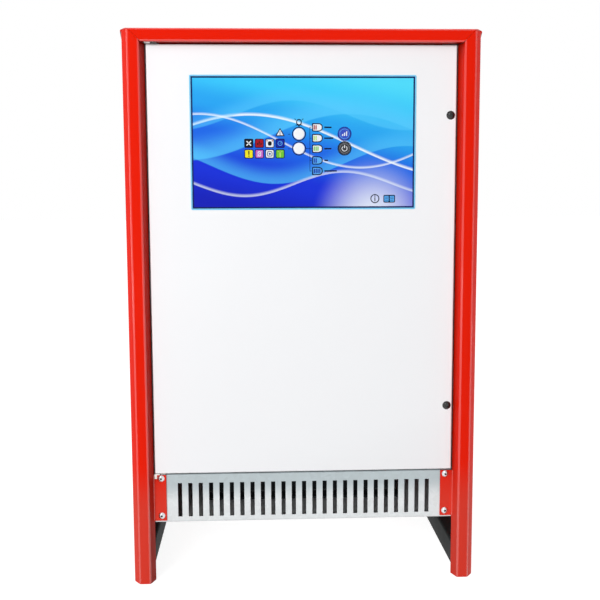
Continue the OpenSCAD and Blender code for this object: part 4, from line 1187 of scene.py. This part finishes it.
@dataclass
class BoardParts:
    """Small parts soldered to the rear face of the control board, with their sizes in millimetres."""

    shop: Workshop
    dark: list[np.ndarray] = field(default_factory=list)
    bright: list[np.ndarray] = field(default_factory=list)

    def studs(self, across: np.ndarray, up: float, half: Point, tall: float,
              power: float = 8.0) -> np.ndarray:
        """A row of low blocks: a superellipse carried away from the board, drawn in a little at its top.

        Args:
            across: places of their middles along the board.
            up: height of the row.
            half: half the width and half the height of one block.
            tall: how far it stands out.
            power: squareness of its outline.

        Returns:
            Blocks by rings by points by 3, in metres.
        """
        outline = superellipse(*half, power, 20)[::-1]
        profile = np.array([(1.0, -0.1), (1.0, 0.86), (0.93, 1.0)])
        rows = profile[:, 0][:, None, None] * outline[None]
        points = np.empty((len(across), *rows.shape[:2], 3))
        points[..., 0] = (across[:, None, None] + rows[None, ..., 0]) * MM
        points[..., 1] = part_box("board_relays")[0].y + tall * profile[:, 1][None, :, None] * MM
        points[..., 2] = (up + rows[None, ..., 1]) * MM
        return points

    def build(self) -> None:
        """Sets out legs, chip resistors, a crystal and a choke, and makes one piece of each finish."""
        x, z = middle("control_board")
        eight = np.arange(8) - 3.5
        for chip in (-30, 0, 30):
            for edge in (-20.9, -9.1):
                self.bright.append(self.studs(x + chip + 1.9 * eight, z + edge, (0.35, 1.1), 0.9))
        for side in (-3.3, 3.3):
            self.bright.append(self.studs(x + 12 * eight + side, z + 9.5, (0.6, 1.3), 0.8))
        for up, first, count in ((22.0, -8, 17), (3.0, -8, 4), (3.0, 4, 5), (-30.0, -8, 9)):
            places = x + 9 * (first + np.arange(count))
            self.dark.append(self.studs(places, z + up, (1.3, 0.75), 0.6))
            for side in (-1.6, 1.6):
                self.bright.append(self.studs(places + side, z + up, (0.45, 0.85), 0.55))
        self.bright.append(self.studs(np.array([x + 62]), z - 12, (5.5, 2.3), 3.4, 4.0))
        self.dark.append(self.studs(np.array([x - 62]), z - 8, (7.0, 7.0), 6.0, 4.0))
        for name, blocks, finish in (
                ("board_chips", self.dark, Moulding("chip_epoxy", CHIP_BLACK, 0.5)),
                ("board_solder", self.bright, PlatedSteel("bright_tin", srgb("DDDFE0"), 1.0, 0.3))):
            piece = self.shop.rods(name, np.concatenate(blocks), finish.build(), False)
            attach(piece, Body.DOOR.value)


@dataclass
class Winding:
    """Enamelled wire on one coil of the transformer."""

    shop: Workshop
    coil: str
    rim: float = 2.0 * MM
    rim_height: float = 2.5 * MM
    corner: float = 8.0 * MM
    wire: float = 1.1 * MM
    steps: int = 32
    sides: int = 8

    def helix(self) -> np.ndarray:
        """A round wire carried along a rising rounded rectangle.

        At angle t the line lies at the corner's centre that faces t, plus the corner radius times
        (cos t, sin t), and it rises by a little more than the wire's diameter in one turn.

        Returns:
            One rod of path by section by 3, in metres.
        """
        low, high = (np.array(corner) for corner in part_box(self.coil))
        centre = (low + high) / 2
        reach = (high - low)[:2] / 2 - self.rim - self.corner
        bottom, top = low[2] + self.rim_height + self.wire, high[2] - self.rim_height - self.wire
        turns = int((top - bottom) / (2.04 * self.wire))
        t = np.arange(turns * self.steps + 1) / self.steps
        angle = 2 * np.pi * (t + 0.5 / self.steps)
        out = np.stack([np.cos(angle), np.sin(angle)], axis=1)
        line = np.empty((len(t), 3))
        line[:, :2] = centre[:2] + np.sign(out) * reach + self.corner * out
        line[:, 2] = bottom + (top - bottom) * t / turns
        section = 2 * np.pi * np.arange(self.sides) / self.sides
        points = np.repeat(line[:, None], self.sides, axis=1)
        points[..., :2] += self.wire * np.cos(section)[None, :, None] * out[:, None]
        points[..., 2] -= self.wire * np.sin(section)[None]
        return points[None]

    def build(self, material: bpy.types.Material) -> None:
        """Winds the wire onto the coil.

        Args:
            material: the wire's enamel.
        """
        piece = self.shop.rods(f"{self.coil}_wire", self.helix(), material)
        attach(piece, Body.CABINET.value)


@dataclass
class Interior:
    """What the door hides: board, transformer, rectifier and switchgear."""

    shop: Workshop

    def build(self) -> None:
        """Dresses every inner piece."""
        dress = self.shop.dress
        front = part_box("board_standoffs")[1].y - 0.1 * MM
        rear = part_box("board_relays")[0].y + 0.1 * MM
        dress(["control_board"], BoardMask("board_mask", (0.006, 0.09, 0.032), front, rear), 0.0)
        BoardParts(self.shop).build()
        dress(["board_relays"], Moulding("relay_case", srgb("2C5F9E"), 0.3, coat=0.3))
        dress(["board_capacitors"], Moulding("capacitor_sleeve", srgb("16182A"), 0.3, coat=0.4))
        dress(["board_connectors"], Moulding("connector_green", srgb("2F9E4F"), 0.45))
        brass = PlatedSteel("bare_brass", srgb("D9B25A"), 1.0, 0.3)
        dress(["board_standoffs", "earth_stud", "current_shunt"], brass, 0.15 * MM)
        dress(["transformer_core"], LaminatedSteel("core_plates", srgb("5A5B5E")), 0.3 * MM)
        # The primer is dark grey, painted darker still as the shade inside the cabinet that shows through the
        # grille's slots.
        darkened_primer = PowderCoat("grey_primer_painted_dark", srgb("2A2D30"), 0.5, 0.0, shine=0.05)
        dress(["core_clamps_lower", "core_clamps_upper"], darkened_primer)
        coils = ["coil_left", "coil_centre", "coil_right"]
        dress(coils, Moulding("varnished_bobbin", srgb("7A4A22"), 0.4))
        enamel = PlatedSteel("enamelled_copper", srgb("C0662C"), 0.6, 0.3).build()
        for coil in coils:
            Winding(self.shop, coil).build(enamel)
        dress(["rectifier_heatsink"], PlatedSteel("plain_aluminium", srgb("D4D6D8"), 1.0, 0.38), 0.15 * MM)
        dress(["diode_modules", "contactor"], Moulding("black_case", srgb("2B2C2E"), 0.5))
        dress(["busbar_positive", "busbar_negative"], PlatedSteel("bare_copper", srgb("D98A5A"), 1.0, 0.3))
        dress(["fuse_holders", "terminal_block"], Moulding("grey_case", srgb("C6C8C8"), 0.5))
        dress(["battery_fuse"], Moulding("fuse_ceramic", srgb("DCD6C6"), 0.55))


@dataclass(frozen=True)
class Viewpoint:
    """The camera: where it stands before the cabinet and how it is turned."""

    lens_mm: float = 56.252
    film_mm: float = 36.0
    place_m: tuple[float, float, float] = (-0.05605, -1.27074, 0.47999)
    yaw_deg: float = -2.645
    pitch_deg: float = -6.719
    roll_deg: float = 0.224
    near_m: float = 0.05
    far_m: float = 60.0

    def build(self) -> None:
        """Makes the scene's camera."""
        data = bpy.data.cameras.new("viewpoint")
        data.lens = self.lens_mm
        data.sensor_width = self.film_mm
        data.clip_start = self.near_m
        data.clip_end = self.far_m
        camera = bpy.data.objects.new("viewpoint", data)
        turn = (Matrix.Rotation(math.radians(self.yaw_deg), 4, "Z")
                @ Matrix.Rotation(math.radians(90 + self.pitch_deg), 4, "X")
                @ Matrix.Rotation(math.radians(-self.roll_deg), 4, "Z"))
        camera.matrix_world = Matrix.Translation(self.place_m) @ turn
        bpy.context.scene.collection.objects.link(camera)
        bpy.context.scene.camera = camera


@dataclass
class Studio:
    """Plain pale floor, even sky and five soft lamps."""

    ambient: float = 0.20
    floor_colour: Colour = (0.42, 0.42, 0.42)
    floor_reach: float = 14.0
    floor_drop: float = 0.2 * MM
    floor_lift: float = 0.88
    lift_from: float = 0.8
    lift_to: float = 4.0

    def seen(self, tree: bpy.types.NodeTree) -> Socket:
        """One for rays from the camera, off a gloss or through glass, else zero.

        Args:
            tree: the node tree to add the test to.

        Returns:
            The test's output.
        """
        path = tree.nodes.new("ShaderNodeLightPath")
        found = path.outputs["Is Camera Ray"]
        for name in ("Is Glossy Ray", "Is Transmission Ray"):
            either = tree.nodes.new("ShaderNodeMath")
            either.operation = "MAXIMUM"
            tree.links.new(found, either.inputs[0])
            tree.links.new(path.outputs[name], either.inputs[1])
            found = either.outputs[0]
        return found

    def sky(self) -> None:
        """White where it is seen, and an even soft light elsewhere."""
        world = bpy.data.worlds.new("studio_sky")
        bpy.context.scene.world = world
        world.use_nodes = True
        tree = world.node_tree
        tree.nodes.clear()
        choose = tree.nodes.new("ShaderNodeMixShader")
        tree.links.new(self.seen(tree), choose.inputs[0])
        for number, strength in ((1, self.ambient), (2, 1.0)):
            light = tree.nodes.new("ShaderNodeBackground")
            light.inputs["Color"].default_value = (1.0, 1.0, 1.0, 1.0)
            light.inputs["Strength"].default_value = strength
            tree.links.new(light.outputs[0], choose.inputs[number])
        end = tree.nodes.new("ShaderNodeOutputWorld")
        tree.links.new(choose.outputs[0], end.inputs["Surface"])

    def floor(self) -> None:
        """A wide plate that is seen as white and still takes the shadow."""
        graph = Graph("studio_floor")
        graph.set(Base_Color=self.floor_colour, Roughness=0.9, Specular_IOR_Level=0.1)
        away = graph.add("ShaderNodeVectorMath", {0: graph.place()}, operation="LENGTH").outputs["Value"]
        glow = graph.span(away, self.lift_from, self.lift_to, (self.floor_lift, 1.0))
        strength = graph.math("MULTIPLY", self.seen(graph.tree), glow)
        lift = graph.add("ShaderNodeEmission", {"Color": (1.0, 1.0, 1.0), "Strength": strength})
        both = graph.add("ShaderNodeAddShader", {0: graph.shader.outputs[0], 1: lift.outputs[0]})
        graph.tree.links.new(both.outputs[0], graph.output.inputs["Surface"])
        r = self.floor_reach
        data = bpy.data.meshes.new("floor")
        data.from_pydata([(-r, -r, 0), (r, -r, 0), (r, r, 0), (-r, r, 0)], [], [(0, 1, 2, 3)])
        data.materials.append(graph.material)
        plate = bpy.data.objects.new("floor", data)
        plate.location.z = -self.floor_drop
        bpy.context.scene.collection.objects.link(plate)

    def lamp(self, name: str, place: Sequence[float], aim: Sequence[float], size: Point, power: float,
             mirrored: bool = True) -> None:
        """One soft box.

        Args:
            name: the lamp's name.
            place: where it stands, in metres.
            aim: the point it faces.
            size: its width and height.
            power: in watts.
            mirrored: whether it shows as a highlight on gloss.
        """
        data = bpy.data.lights.new(name, "AREA")
        data.shape = "RECTANGLE"
        data.size, data.size_y = size
        data.energy = power
        lamp = bpy.data.objects.new(name, data)
        lamp.location = place
        lamp.rotation_euler = (Vector(aim) - Vector(place)).to_track_quat("-Z", "Y").to_euler()
        lamp.visible_glossy = mirrored
        bpy.context.scene.collection.objects.link(lamp)

    def build(self) -> None:
        """Sets up sky, floor and lamps, and the plain view transform."""
        bpy.context.scene.view_settings.view_transform = "Standard"
        self.sky()
        self.floor()
        cabinet = (0.0, 0.0, 0.35)
        self.lamp("front_lamp", (-1.75, -4.1, 1.3), cabinet, (1.9, 1.9), 140.0, False)
        self.lamp("key_lamp", (-1.3, -2.3, 1.9), cabinet, (0.4, 1.4), 13.0)
        self.lamp("rim_left", (-2.3, 0.35, 0.7), cabinet, (0.6, 1.6), 9.0)
        self.lamp("rim_right", (2.3, 0.35, 0.7), cabinet, (0.6, 1.6), 30.0, False)
        self.lamp("top_lamp", (0.0, 0.6, 2.6), (0.0, 0.1, 0.6), (1.2, 1.2), 12.0)


def main() -> None:
    """Builds the charger's looks round the frame."""
    logging.basicConfig(level=logging.INFO, format="%(name)s: %(message)s")
    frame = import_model()
    shop = Workshop(frame)
    Viewpoint().build()
    Studio().build()
    Cabinet(shop).build()
    ControlPanel(shop).build()
    Interior(shop).build()
    LOG.info("%d new pieces", shop.made)


if __name__ == "__main__":
    main()
